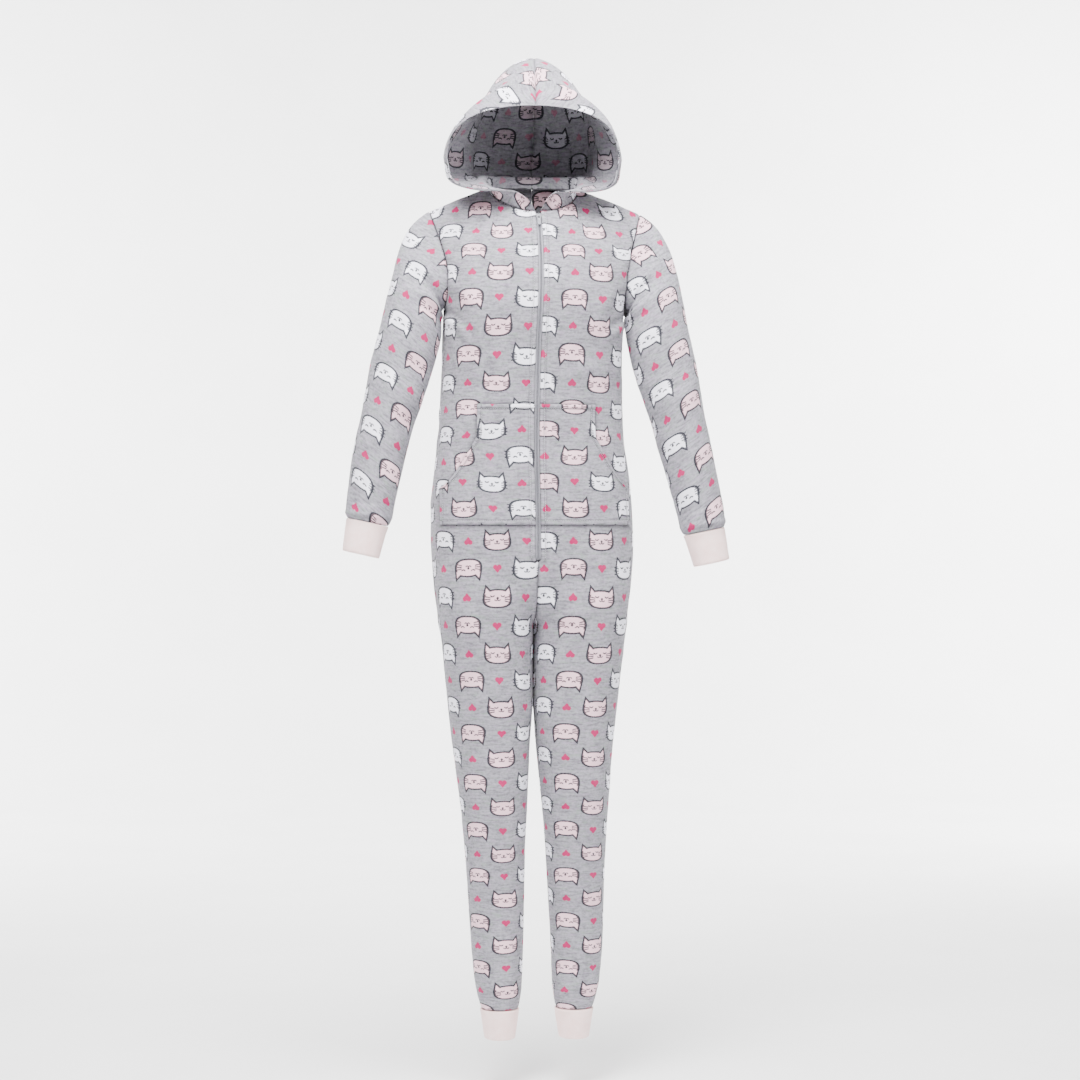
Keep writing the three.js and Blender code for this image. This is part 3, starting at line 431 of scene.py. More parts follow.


# The outer cloth shows the whole print. The hood's lining is the same print with its fills and hearts faint, a
# darker copy of the fleece as painted shade for the hood's shaded inside.
def makePrintedFleece(name, fillShare, heartShare):
    make = MaterialMaker(name)
    place = make.coordinates("UV")
    u, v, _ = make.split(place)
    # the knit drifts a little, and the nap softens each edge
    shifted = []
    for axis, value in enumerate((u, v)):
        offset = make.join(3.7 * axis, 1.3, 0.5 + axis)
        shiftedPlace = make.add("VectorMath", {0: place, 1: offset}, operation="ADD").outputs[0]
        wander = make.noise(shiftedPlace, 8.0, 1.0)
        fuzz = make.noise(shiftedPlace, 620.0, 1.5, 0.6)
        inMillimetres = make.times(value, 1000.0)
        shift = make.scaled(wander, 2 * printRepeat["wander"], inMillimetres)
        shifted.append(make.scaled(fuzz, 2 * printRepeat["fuzz"], shift))
    halves = [drawMotifs(make, *shifted, isOdd) for isOdd in (False, True)]

    # marl: short darker and tinted streaks across the cloth
    streaked = make.join(make.times(u, 55.0), make.times(v, 250.0), 0.0)
    streak = make.smooth(make.noise(streaked, 1.0, 3.0, 0.6), 0.38, 0.7)
    mottle = make.smooth(make.noise(place, 200.0, 3.0, 0.65), 0.32, 0.72)
    marl = make.scaled(mottle, 0.45, make.times(streak, 0.55))
    cloth = make.mix(marl, fleeceColours["light"], fleeceColours["dark"])
    tinted = make.join(make.times(u, 90.0), make.times(v, 300.0), 7.0)
    green = make.smooth(make.noise(tinted, 0.8, 2.0), 0.56, 0.72, 0.0, 0.5)
    lilac = make.smooth(make.noise(tinted, 0.8, 2.0), 0.28, 0.44, 0.5, 0.0)
    cloth = make.mix(green, cloth, fleeceColours["green"])
    cloth = make.mix(lilac, cloth, fleeceColours["lilac"])

    # the print lies in the nap, so the marl shows through it a little
    showThrough = make.smooth(make.noise(place, 900.0, 2.0, 0.7), 0.3, 0.75, 1.0, 0.84)
    for half in halves:
        fillColour = make.mix(half["isWhite"], fleeceColours["pink"], fleeceColours["white"])
        cloth = make.mix(make.times(half["fill"], fillShare), cloth, fillColour)
        heart = make.times(half["heart"], make.times(showThrough, heartShare))
        cloth = make.mix(heart, cloth, fleeceColours["heart"])
    for half in halves:
        cloth = make.mix(make.times(half["ink"], showThrough), cloth, fleeceColours["ink"])

    # painted shade and sheen: the cloth is darkened down in a seam, along a hem, beside a pocket and deep
    # inside the hood, by the shade given for each point, and a little in patches where the nap lies another
    # way and catches less light
    paintedShade = make.add("Attribute", {}, attribute_name="paintedShade")
    # painted sheen: patches a little darker where the nap lies another way
    napSheenPatches = make.smooth(make.noise(place, 30.0, 2.0), 0.35, 0.65, 0.0, 0.1)
    shade = make.scaled(paintedShade.outputs["Fac"], 0.45, napSheenPatches, isClamped=True)
    cloth = make.mix(shade, cloth, (0.0, 0.0, 0.0, 1.0))

    nap = make.noise(place, 1100.0, 3.0, 0.6)
    clumps = make.noise(place, 240.0, 2.0, 0.5)
    height = make.scaled(clumps, 0.7, make.times(nap, 0.5))
    make.bump(height, 0.0009, 0.55)
    make.sheen()
    return make.finish(cloth, 0.95)


# The knitted rib of the cuffs: pale pink, a little darker between the ribs.
def makeRibKnit():
    make = MaterialMaker("pink rib")
    place = make.coordinates("UV")
    u, v, _ = make.split(place)
    loops = make.join(make.times(u, 900.0), make.times(v, 700.0), 0.0)
    loop = make.noise(loops, 1.0, 2.0, 0.5)
    patch = make.noise(place, 60.0, 2.0)
    tone = make.scaled(loop, 0.6, make.times(patch, 0.4))
    colour = make.mix(make.smooth(tone, 0.35, 0.65), screenColour(238, 204, 200), screenColour(247, 222, 219))
    make.bump(loop, 0.0004, 0.5)
    make.sheen()
    return make.finish(colour, 0.9)


def makeWovenTape():
    make = MaterialMaker("woven tape")
    place = make.coordinates("UV")
    u, v, _ = make.split(place)
    warp = make.math("SINE", make.times(u, 2 * math.pi / 0.0007))
    weft = make.math("SINE", make.times(v, 2 * math.pi / 0.0006))
    weave = make.times(warp, weft)
    colour = make.mix(make.smooth(weave, -1.0, 1.0), screenColour(120, 119, 127), screenColour(150, 149, 157))
    make.bump(weave, 0.00012, 0.5)
    return make.finish(colour, 0.85)


def makePlain(name, dark, light, scale, roughness, metallic=0.0, bumpHeight=0.0):
    make = MaterialMaker(name)
    place = make.coordinates("Object")
    tone = make.noise(place, scale, 3.0, 0.6)
    make.fill(make.shader, {"Metallic": metallic})
    if bumpHeight:
        make.bump(tone, bumpHeight, 0.4)
    return make.finish(make.mix(make.smooth(tone, 0.3, 0.7), dark, light), roughness)


def greys(dark, light):
    return screenColour(*dark), screenColour(*light)


materials = {
    "fleece": makePrintedFleece("printed fleece", 0.95, 1.0),
    # painted shade: the lining's darker copy of the fleece, with faint fills and hearts
    "lining": makePrintedFleece("hood lining fleece", 0.24, 0.4),
    "rib": makeRibKnit(),
    "tape": makeWovenTape(),
    "coil": makePlain("zip coil", *greys((112, 111, 119), (146, 145, 153)), 900.0, 0.45),
    "metal": makePlain("painted metal", *greys((84, 84, 90), (112, 112, 118)), 700.0, 0.45, 0.35, 0.00004),
    "thread": makePlain("thread", *greys((188, 187, 193), (214, 213, 219)), 1500.0, 0.8, 0.0, 0.0001),
    "floor": makePlain("pale floor", *greys((238, 238, 238), (242, 242, 242)), 2.0, 0.9),
}
print("materials made")

# The body of the garment. Its sections run from above the shoulder to the ankle cuff, and each is one half:
# outer and inner are its ends in X, front and back its depths from the side seam's plane.
bodyCut = {
    "fleece": 2.0,
    "seam": 0.3,
    "tuck": 0.3,
    "neckHalf": 78.0,
    "frontNeckZ": -48.0,
    "backNeckZ": 6.0,
    "shoulderTipX": 185.0,
    "armpitX": 158.0,
    "armpitZ": -215.0,
    "armholeMiddleZ": -130.0,
    "crotchZ": -761.0,
    "crotchStartZ": -672.0,
    "crotchEndZ": -835.0,
    "ankleZ": -1436.0,
    "hemZ": -1487.0,
    "zipEndZ": -655.0,
    "zipHalf": 4.8,
    "ridgeWidth": 9.7,
}
bodySections = table(["z", "outer", "inner", "front", "back", "power"], [
    [40, 225, -225, 112, 106, 2.5],
    [-45, 206, -206, 113, 108, 2.5],
    [-75, 195, -195, 114, 110, 2.5],
    [-120, 182, -182, 115, 112, 2.5],
    [-170, 166, -166, 116, 113, 2.5],
    [-215, 158, -158, 116, 112, 2.5],
    [-300, 157.5, -157.5, 108, 104, 2.5],
    [-380, 159, -159, 104, 100, 2.5],
    [-440, 162, -160, 104, 105, 2.5],
    [-500, 170, -158, 107, 114, 2.5],
    [-560, 176, -138, 109, 123, 2.5],
    [-616, 177, -107, 108, 127, 2.55],
    [-665, 174, -72, 105, 125, 2.6],
    [-705, 170.5, -40, 101, 119, 2.6],
    [-735, 167.5, -17, 97, 113, 2.55],
    [-752, 165.7, -4.5, 94.6, 109, 2.5],
    [-761, 164.8, 0.4, 93.2, 107, 2.45],
    [-780, 162.3, 0.4, 91, 103.6, 2.37],
    [-800, 160, 0.4, 88.6, 100, 2.3],
    [-860, 153, 0.4, 83, 91, 2.2],
    [-900, 148.8, 0.5, 79.5, 86, 2.17],
    [-916, 147, 1.7, 78.2, 84, 2.16],
    [-940, 144.3, 3.4, 76, 81, 2.15],
    [-1000, 137.5, 7.8, 71, 73, 2.1],
    [-1071, 130.5, 12.8, 65, 65, 2.1],
    [-1140, 124.5, 17.5, 58, 62, 2.1],
    [-1210, 120.5, 20.5, 51, 59, 2.1],
    [-1281, 117.5, 23, 46, 54, 2.1],
    [-1351, 113, 25.5, 42, 47, 2.1],
    [-1388, 109, 27, 40.5, 44, 2.1],
    [-1412, 104.5, 29, 39, 42, 2.1],
    [-1427, 100, 32, 37, 40, 2.1],
    [-1436, 97, 34, 34.5, 37.5, 2.1],
    [-1487, 89, 41.5, 30, 33, 2.1],
])
# How far the whole garment leans off the middle plane at each height.
stance = table(["z", "sideways", "backwards"], [
    [240, 3, 0],
    [130, 4, 0],
    [50, 0, 0],
    [0, 0, 0],
    [-35, 4, 0],
    [-120, 5, 0],
    [-300, -1, 0],
    [-450, -3, 0],
    [-600, -1, 0],
    [-800, 0, -4],
    [-960, 0, -3],
    [-1071, 3, -2],
    [-1250, 7, 8],
    [-1351, 9, 11],
    [-1491, 9, 14],
])
# Length of the cloth below the shoulder at each height: the chest slopes, and the lower legs are bunched.
clothLength = table(["z", "length"], [
    [60, -64],
    [0, 5],
    [-80, 95],
    [-152, 190],
    [-245, 285],
    [-341, 380],
    [-612, 665],
    [-805, 855],
    [-898, 950],
    [-1071, 1140],
    [-1234, 1330],
    [-1395, 1520],
    [-1490, 1640],
])["length"]
# Creases of each half: face -1 is the front, side 0 is both halves. Angles are from level, in the front view.
creaseNames = ["face", "side", "x", "z", "angle", "length", "width", "height"]
bodyCreases = [dict(zip(creaseNames, row)) for row in [
    [-1, 0, 120, -200, 52, 70, 13, 3],
    [-1, 0, 138, -262, 70, 60, 12, 2.2],
    [-1, 0, 34, -700, 35, 60, 12, -2.5],
    [-1, 0, 60, -745, 20, 60, 12, 2.5],
    [-1, 0, 70, -1045, 12, 55, 13, 2.5],
    [-1, 0, 74, -1395, 5, 45, 9, 2.2],
    [-1, 1, 146, -236, 28, 34, 5, -3.8],
    [-1, 1, 140, -252, 40, 38, 6, 2.6],
    [-1, -1, 148, -228, 36, 40, 5, -4.2],
    [-1, -1, 140, -246, 50, 46, 6, 3.0],
    [-1, -1, 132, -268, 58, 40, 5, -2.4],
    [-1, 1, 96, -108, -22, 46, 7, 1.1],
    [-1, -1, 102, -96, -28, 42, 7, 1.0],
    [-1, 1, 66, -330, 6, 60, 10, 1.2],
    [-1, -1, 78, -306, -8, 55, 9, 1.1],
    [-1, -1, 92, -352, 4, 48, 8, -1.2],
    [-1, 1, 88, -660, 14, 44, 8, 1.2],
    [-1, -1, 96, -648, 18, 40, 8, -1.3],
    [-1, 1, 30, -742, 42, 34, 5, -1.8],
    [-1, -1, 26, -728, 48, 32, 5, -1.8],
    [-1, 1, 48, -808, 62, 44, 7, 1.3],
    [-1, -1, 42, -822, 66, 46, 7, 1.4],
    [-1, 1, 90, -1012, -10, 36, 7, -1.6],
    [-1, 1, 62, -1088, 8, 32, 6, -1.5],
    [-1, -1, 84, -1002, 12, 34, 7, 1.4],
    [-1, -1, 66, -1074, -6, 34, 6, -1.7],
    [-1, 1, 74, -1228, 6, 30, 7, 1.2],
    [-1, -1, 70, -1214, -8, 30, 7, 1.2],
    [-1, 0, 62, -1345, -7, 32, 6, -1.3],
    [-1, 1, 82, -1372, 10, 24, 5, -1.5],
    [-1, -1, 56, -1378, -9, 26, 5, 1.5],
    [-1, 0, 68, -1415, 3, 40, 5, -1.6],
    [1, 0, 118, -190, 48, 75, 14, 3.5],
    [1, 0, 60, -400, 8, 90, 13, 4],
    [1, 0, 80, -440, -6, 90, 14, 3.5],
    [1, 0, 45, -715, 38, 75, 15, -4],
    [1, 0, 80, -770, 14, 70, 14, 3.5],
    [1, 0, 72, -1085, -10, 60, 14, -3.5],
    [1, 0, 70, -1120, 8, 60, 12, 3],
    [1, 1, 140, -240, 40, 36, 6, -2.2],
    [1, -1, 144, -232, 34, 34, 6, -2.2],
    [1, 1, 54, -422, 4, 60, 6, -2.2],
    [1, -1, 70, -412, -7, 56, 6, -2.4],
    [1, 1, 96, -462, 9, 50, 7, 1.6],
    [1, -1, 88, -474, -10, 48, 7, 1.6],
    [1, 1, 46, -120, 12, 56, 10, 1.6],
    [1, -1, 52, -150, -9, 52, 10, 1.6],
    [1, 1, 34, -748, 44, 40, 6, 1.8],
    [1, -1, 38, -736, 40, 42, 6, 1.8],
    [1, 1, 96, -800, 22, 44, 7, -1.8],
    [1, -1, 88, -812, 18, 44, 7, -1.8],
    [1, 1, 60, -1100, 6, 34, 5, 1.6],
    [1, -1, 84, -1104, -8, 36, 5, 1.6],
    [1, 0, 70, -1260, 5, 34, 8, -1.6],
    [1, 0, 66, -1372, -6, 34, 6, 1.8],
    [1, 0, 70, -1408, 4, 36, 5, -1.8],
]]


# The pocket's cut: a straight top, then a hand opening that curves out and down to the side.
pocketCut = {
    "cloth": 1.8,
    "topZ": -384.0,
    "mouthZ": -528.0,
    "endZ": -590.0,
    "topX": 101.0,
    "sideX": 162.0,
    "hem": 7.6,
    "hemHeight": 1.5,
    "gape": 2.4,
    "printShift": {1: (32.0, 38.0), -1: (20.0, 38.0)},
}


def pocketOuterX(z):
    share = clamp((z - pocketCut["mouthZ"]) / (pocketCut["topZ"] - pocketCut["mouthZ"]))
    return lerp(pocketCut["sideX"], pocketCut["topX"], np.minimum(1, (share / 0.62) ** 0.75))


def shoulderLine(x):
    x = np.abs(x)
    beyond = x - bodyCut["neckHalf"]
    above = 25 * (1 - (x / bodyCut["neckHalf"]) ** 2)
    return np.where(beyond < 0, above, -0.34 * beyond - 0.0006 * beyond * beyond)


def sectionAt(z):
    names = ("outer", "inner", "front", "back", "power")
    outer, inner, front, back, power = (bodySections[name](z) for name in names)
    return (outer + inner) / 2, (outer - inner) / 2, front, back, power


# The front slopes back to the neck sooner than the back.
def yokeDepth(x, z, face):
    armpitZ = bodyCut["armpitZ"]
    rise = clamp((z - armpitZ) / (shoulderLine(x) - armpitZ))
    return np.where(face < 0, (1 - rise ** 1.7) ** 0.9, (1 - rise ** 2.2) ** 0.5)


def bodyPoint(x, z, face):
    x, z, face = np.broadcast_arrays(np.asarray(x, float), np.asarray(z, float), face)
    centre, half, front, back, power = sectionAt(z)
    room = clamp(1 - (np.abs(x - centre) / half) ** power)
    depth = np.where(face < 0, front, back) * yokeDepth(x, z, face)
    return np.stack([x, face * depth * room ** (1 / power), z], axis=-1)


def middleEdge(z, face):
    if face > 0:
        return bodyCut["seam"] / 2
    return float(lerp(bodyCut["seam"] / 2, bodyCut["zipHalf"], clamp((z - bodyCut["zipEndZ"]) / 5)))


# One half of a section from the middle, or the inseam, to the side seam, with the length up to each point.
def sectionArc(z, face):
    centre, half, front, back, power = sectionAt(z)
    turn = np.linspace(math.pi, 0, 901)
    depth = front if face < 0 else back
    across, through = np.abs(np.cos(turn)) / half, np.abs(np.sin(turn)) / depth
    radius = (across ** power + through ** power) ** (-1 / power)
    x, y = centre + radius * np.cos(turn), face * radius * np.sin(turn)
    points = np.stack([x, y, np.full(turn.shape, z)], axis=-1)
    edge = middleEdge(z, face)
    first = int(np.argmax(points[:, 0] >= edge))
    if first > 0:
        share = (edge - points[first - 1, 0]) / (points[first, 0] - points[first - 1, 0])
        points = np.vstack([lerp(points[first - 1], points[first], share), points[first:]])
    steps = np.linalg.norm(np.diff(points, axis=0), axis=1)
    return points, np.concatenate([[0], np.cumsum(steps)])


def pointsAt(arc, lengths):
    points, along = arc
    return np.stack([np.interp(lengths, along, points[:, k]) for k in range(3)], axis=-1)


# Columns lie closer together at the seams and over the stitched edge beside the zip.
columnPlan = {
    -1: {"head": [0, 0.9, 2.4, 4.2, 6, 7.2, 8.4, 9.7, 11.5, 14], "middle": 40, "tail": [6, 3.5, 1.6, 0]},
    1: {"head": [0, 1.6, 3.5, 6], "middle": 42, "tail": [6, 3.5, 1.6, 0]},
}
rowPlan = {"yoke": 46, "step": 5.0, "edge": [0, 1.6, 3.5, 6]}


def columnLengths(total, face):
    plan = columnPlan[face]
    tail = total - np.array(plan["tail"])
    middle = np.linspace(plan["head"][-1], tail[0], plan["middle"] + 2)[1:-1]
    return np.concatenate([plan["head"], middle, tail])


def columnsAt(z, face):
    arc = sectionArc(z, face)
    return pointsAt(arc, columnLengths(arc[1][-1], face))


# The neckline and then the shoulder seam, at the same columns as the row below the arm.
def upperEdge(lengths, face):
    neckHalf = bodyCut["neckHalf"]
    lowZ = bodyCut["frontNeckZ"] if face < 0 else bodyCut["backNeckZ"]
    ridge = bodyCut["ridgeWidth"] if face < 0 else 0
    start = middleEdge(0, face) + ridge
    share = (lengths - ridge) / (lengths[-1] - ridge)
    neckShare = 3 / 7
    turn = lerp(math.asin(start / neckHalf), math.pi / 2, clamp(share / neckShare))
    x = neckHalf * np.sin(turn)
    alongShoulder = (share - neckShare) / (1 - neckShare)
    x = np.where(share > neckShare, lerp(neckHalf, bodyCut["shoulderTipX"], alongShoulder), x)
    x = np.where(share < 0, middleEdge(0, face) + lengths, x)
    rise = np.sqrt(clamp(1 - (x / neckHalf) ** 2))
    return x, np.where(x < neckHalf, lowZ * rise, shoulderLine(x))


def armholeEdge(share):
    z = lerp(bodyCut["armpitZ"], shoulderLine(bodyCut["shoulderTipX"]), share)
    straight = lerp(bodyCut["armpitX"], bodyCut["shoulderTipX"], share)
    return straight - 13 * np.sin(np.pi * share ** 0.8) * (1 - 0.4 * share), z


def yokeGrid(face):
    armpitZ = bodyCut["armpitZ"]
    arc = sectionArc(armpitZ, face)
    lengths = columnLengths(arc[1][-1], face)
    lowX = pointsAt(arc, lengths)[:, 0]
    upX, upZ = upperEdge(lengths, face)
    head = np.array(rowPlan["edge"]) / 200
    down = np.concatenate([head, np.linspace(head[-1], 1, rowPlan["yoke"])[1:-1]])
    share = (1 - down)[:, None]
    edgeX, _ = armholeEdge(share)
    straight = lerp(lowX[-1], upX[-1], share)
    x = lerp(lowX, upX, share) + (lowX / lowX[-1]) ** 2 * (edgeX - straight)
    z = lerp(armpitZ, upZ, share)
    return bodyPoint(x, np.minimum(z, shoulderLine(x)), face)


def crotchPoints(z, face):
    above, below = columnsAt(bodyCut["crotchStartZ"], face), columnsAt(bodyCut["crotchEndZ"], face)
    share = eased((z - bodyCut["crotchStartZ"]) / (bodyCut["crotchEndZ"] - bodyCut["crotchStartZ"]))
    row = bodyPoint(lerp(above[:, 0], below[:, 0], share), z, face)
    arc = sectionArc(z, face)
    row[0] = arc[0][0]
    row[-1] = arc[0][-1]
    return row


def lowerLevels(face):
    zipEndZ, ankleZ = bodyCut["zipEndZ"], bodyCut["ankleZ"]
    stops = [bodyCut["armpitZ"], zipEndZ + 5, zipEndZ, bodyCut["crotchZ"], ankleZ + 6]
    levels = [stops[0]]
    for start, end in zip(stops, stops[1:]):
        count = max(1, round((start - end) / rowPlan["step"]))
        levels += list(np.linspace(start, end, count + 1)[1:])
    if face < 0:
        beside = (0.2, 1.5, 3.0, 5.5)
        pocketLevels = [pocketCut["topZ"] + d for d in beside] + [pocketCut["endZ"] - d for d in beside]
        levels = [z for z in levels if min(abs(z - near) for near in pocketLevels) > 1.6]
        levels = sorted(levels + pocketLevels, reverse=True)
    return levels + [ankleZ + d for d in (3.5, 1.6, 0)]


def panelGrid(face):
    rows = []
    for z in lowerLevels(face):
        isNearCrotch = bodyCut["crotchEndZ"] < z < bodyCut["crotchStartZ"]
        rows.append(crotchPoints(z, face) if isNearCrotch else columnsAt(z, face))
    return np.concatenate([yokeGrid(face), np.array(rows)])


def onSide(creases, side):
    return [crease for crease in creases if crease["side"] in (0, side)]


# One crease's height at places measured from its middle. Its line turns, and may bow.
def creaseRise(crease, turn, aside, up, bow=0.0):
    along = aside * math.cos(turn) + up * math.sin(turn)
    across = up * math.cos(turn) - aside * math.sin(turn) + bow * along * along
    return crease["height"] * gauss(along / crease["length"]) * gauss(across / crease["width"])


bowPerDegree = 0.0035 / 30


def creaseHeight(x, z, face, side):
    height = np.zeros(np.broadcast(x, z).shape)
    for crease in onSide(bodyCreases, side):
        if crease["face"] == face:
            turn, bow = math.radians(crease["angle"]), bowPerDegree * crease["angle"]
            height = height + creaseRise(crease, turn, x - crease["x"], z - crease["z"], bow)
    return height


hoodTurn = 0.085  # the hood looks a little towards the wearer's right


# Puts a half's points on the wearer's left (1) or right (-1), and leans them as the garment stands.
def stand(grid, side):
    x, y, z = np.moveaxis(grid, -1, 0)
    turned = y * hoodTurn * eased(clamp((z + 60) / 80))
    return np.stack([side * x + stance["sideways"](z) + turned, y + stance["backwards"](z), z], axis=-1)


# Each kind of cloth: its piece, the solid it stands for, its looks, and the piece that it is sewn to.
clothNames = ["piece", "node", "material", "slot", "sewnTo"]
clothKinds = {kind: dict(zip(clothNames, row)) for kind, row in {
    "front": ["frontCloth", "front", "fleece", "printed_fleece", "backCloth"],
    "back": ["backCloth", "back", "fleece", "printed_fleece", "hoodCloth"],
    "sleeve": ["sleeveCloth", "sleeve", "fleece", "printed_fleece", "frontCloth"],
    "wrist": ["wristRib", "wrist_cuff", "rib", "rib_pink", "sleeveCloth"],
    "ankle": ["ankleRib", "ankle_cuff", "rib", "rib_pink", "frontCloth"],
    "pocket": ["pocketCloth", "pocket", "fleece", "printed_fleece", "frontCloth"],
    "hood": ["hoodCloth", "hood", "fleece", "printed_fleece", "backCloth"],
    "lining": ["hoodLining", "hood_lining", "lining", "printed_fleece", "hoodCloth"],
    "tape": ["zipTape", "zip", "tape", "zip_tape", "frontCloth"],
}.items()}
cloths, sewings = {}, {}


def makeCloth(kind, side, grid, outer, inner, uv, isTube=False, paintedShade=None):
    cloth, sideName = clothKinds[kind], sides[side]
    nodeName = f"{cloth['node']}_{sideName}"
    mesh = wallMesh(nodeName, stand(outer, side), stand(inner, side), uv, isTube, paintedShade)
    name, material = f"{cloth['piece']}_{sideName}", materials[cloth["material"]]
    piece = addPiece(name, mesh, material, nodes=[nodeName])
    cloths[kind, side] = piece, cutOf(grid, isTube)


# A seam draws the cloth down into a narrow groove, with puckers and a low swell beside it, and painted shade
# darkens the groove.
seamShape = {
    "dip": 1.3,
    "reach": 2.4,
    "pucker": 0.45,
    "puckerCell": 7.0,
    "puckerReach": 6.0,
    "swell": 0.3,
    "swellAt": 6.0,
    "swellReach": 3.5,
    "shade": 0.9,
    "shadeReach": 1.9,
}


def seamRelief(distance, along, seed):
    shape = seamShape
    uneven = softNoise(along, 0, shape["puckerCell"], seed) * shape["pucker"]
    swell = shape["swell"] * gauss((distance - shape["swellAt"]) / shape["swellReach"])
    dip = shape["dip"] * gauss(distance / shape["reach"])
    return uneven * np.exp(-distance / shape["puckerReach"]) - dip + swell


# painted shade down in and beside the nearest seam
def seamShade(*distances):
    nearest = np.minimum.reduce(np.broadcast_arrays(*distances))
    return seamShape["shade"] * gauss(nearest / seamShape["shadeReach"])


# The folded and stitched edge beside the zip: height and shade at each distance from the edge.
ridgeProfile = {
    "at": [0, 0.9, 2.4, 4.2, 6, 7.2, 8.4, 9.7, 11.5],
    "height": [-0.4, 0.6, 1.4, 1.6, 1.3, -0.1, 0.9, 0.0, -0.1],
    "shade": [0.7, 0.1, 0.0, 0.0, 0.1, 1.2, 0.1, 0.6, 0.1],
}


def ridgeAt(distance, measure):
    return np.interp(distance, ridgeProfile["at"], ridgeProfile[measure])


# Normals of a front or back, and its creases and soft unevenness, which fade out at its edges.
def clothSurface(plain, face, side):
    outward = np.zeros_like(plain)
    outward[..., 1] = face
    x, y, z = np.moveaxis(plain, -1, 0)
    broad, fine = softNoise(x + 200 * side, z, 46.0, 5 + face), softNoise(x - 90 * side, z, 19.0, 9 + face)
    soft = broad * 1.2 + fine * 0.5
    folds = (creaseHeight(x, z, face, side) * clamp(x / 15) + soft) * clamp(np.abs(y) / 25)
    return plain, facing(gridNormals(plain), outward), folds


surfaces = {(face, side): clothSurface(panelGrid(face), face, side) for face in (-1, 1) for side in sides}
print("body surfaces worked out")


# Place on the flat cloth: across from the middle or the middle of the leg, and up.
def bodyPrint(plain, side, shift):
    x, z = plain[..., 0], plain[..., 2]
    across = lengthsAlong(plain, 1)
    centre = sectionAt(z[:, -1])[0]
    fold = np.array([np.interp(c, row, lengths) for c, row, lengths in zip(centre, x, across)])
    crotchCentre = sectionAt(bodyCut["crotchZ"])[0]
    start = np.where(z[:, -1] < bodyCut["crotchZ"], crotchCentre, centre)
    start = np.where(centre < 1, x[:, 0] + fold, start)
    u = side * (across - fold[:, None] + start[:, None]) + shift[0]
    return np.stack([u, shift[1] - clothLength(z)], axis=-1)


# Where the print's first white column and first cat lie on each panel.
printShift = {
    ("front", 1): (-14.0, 95.0),
    ("front", -1): (-37.0, 95.0),
    ("back", 1): (20.0, 60.0),
    ("back", -1): (20.0, 60.0),
}


def makeBodyPanel(kind, face, side):
    plain, normals, folds = surfaces[face, side]
    x, z = plain[..., 0], plain[..., 2]
    fromMiddle, fromSide, fromTop, fromEnd = edgeDistances(plain)
    relief = seamRelief(fromSide, z, 21) + seamRelief(fromTop, x, 22) + seamRelief(fromEnd, x, 23)
    middleSeam = seamRelief(fromMiddle, z, 24)
    if face < 0:
        beyondPocket = np.maximum(z - pocketCut["topZ"], pocketCut["endZ"] - z)
        hasRidge = clamp((z - bodyCut["zipEndZ"]) / 4) * clamp((beyondPocket + 1) / 3)
        uneven = softNoise(z, 0, 8.0, 31) * 0.25 * gauss((fromMiddle - 7) / 4)
        isSeam = clamp((bodyCut["zipEndZ"] - z) / 4)
        relief += (ridgeAt(fromMiddle, "height") + uneven) * hasRidge + middleSeam * isSeam
        pocketEdge = np.maximum(x - pocketOuterX(z), beyondPocket)
        # painted shadow on the front just outside the pocket's edges
        pocketEdgeShadow = 1.1 * gauss(np.maximum(pocketEdge, 0) / 3.6)
        # painted shade in the stitched grooves beside the zip
        ridgeShade = ridgeAt(fromMiddle, "shade") * hasRidge
        paintedShade = np.maximum(seamShade(fromMiddle) * isSeam, ridgeShade + pocketEdgeShadow)
    else:
        relief += middleSeam
        paintedShade = seamShade(fromMiddle)
    paintedShade = np.maximum(paintedShade, seamShade(fromSide, fromTop, fromEnd))
    outer, inner = moved(plain, normals, folds + relief), moved(plain, normals, folds - bodyCut["fleece"])
    seamWidth = bodyCut["fleece"] * edgeRound - bodyCut["tuck"]
    isInseam = z[:, 0] < bodyCut["crotchZ"]
    isSewn = ~isInseam & ((z[:, 0] < bodyCut["zipEndZ"]) | (face > 0))
    for layer in (outer, inner):
        insetEdges(layer, seamWidth, "first row", "last row", "last column")
        layer[isSewn, 0, 0] = bodyCut["tuck"]
        insetEdges(layer, seamWidth * isInseam[:, None], "first column")
    makeCloth(kind, side, plain, outer, inner, bodyPrint(plain, side, printShift[kind, side]), paintedShade=paintedShade)


# Each edge of a grid with the line beside it.
gridEdges = {
    "first row": (np.s_[0], np.s_[1]),
    "last row": (np.s_[-1], np.s_[-2]),
    "first column": (np.s_[:, 0], np.s_[:, 1]),
    "last column": (np.s_[:, -1], np.s_[:, -2]),
}


# Moves edges towards the lines beside them, by at most 0.6 of the way.
def insetEdges(layer, distance, *names):
    for name in names:
        edge, beside = (layer[line] for line in gridEdges[name])
        away = beside - edge
        length = np.linalg.norm(away, axis=-1, keepdims=True)
        edge += away / np.maximum(length, 1e-9) * np.minimum(distance, length * 0.6)


for side in sides:
    makeBodyPanel("front", -1, side)
    makeBodyPanel("back", 1, side)
print("body panels made")

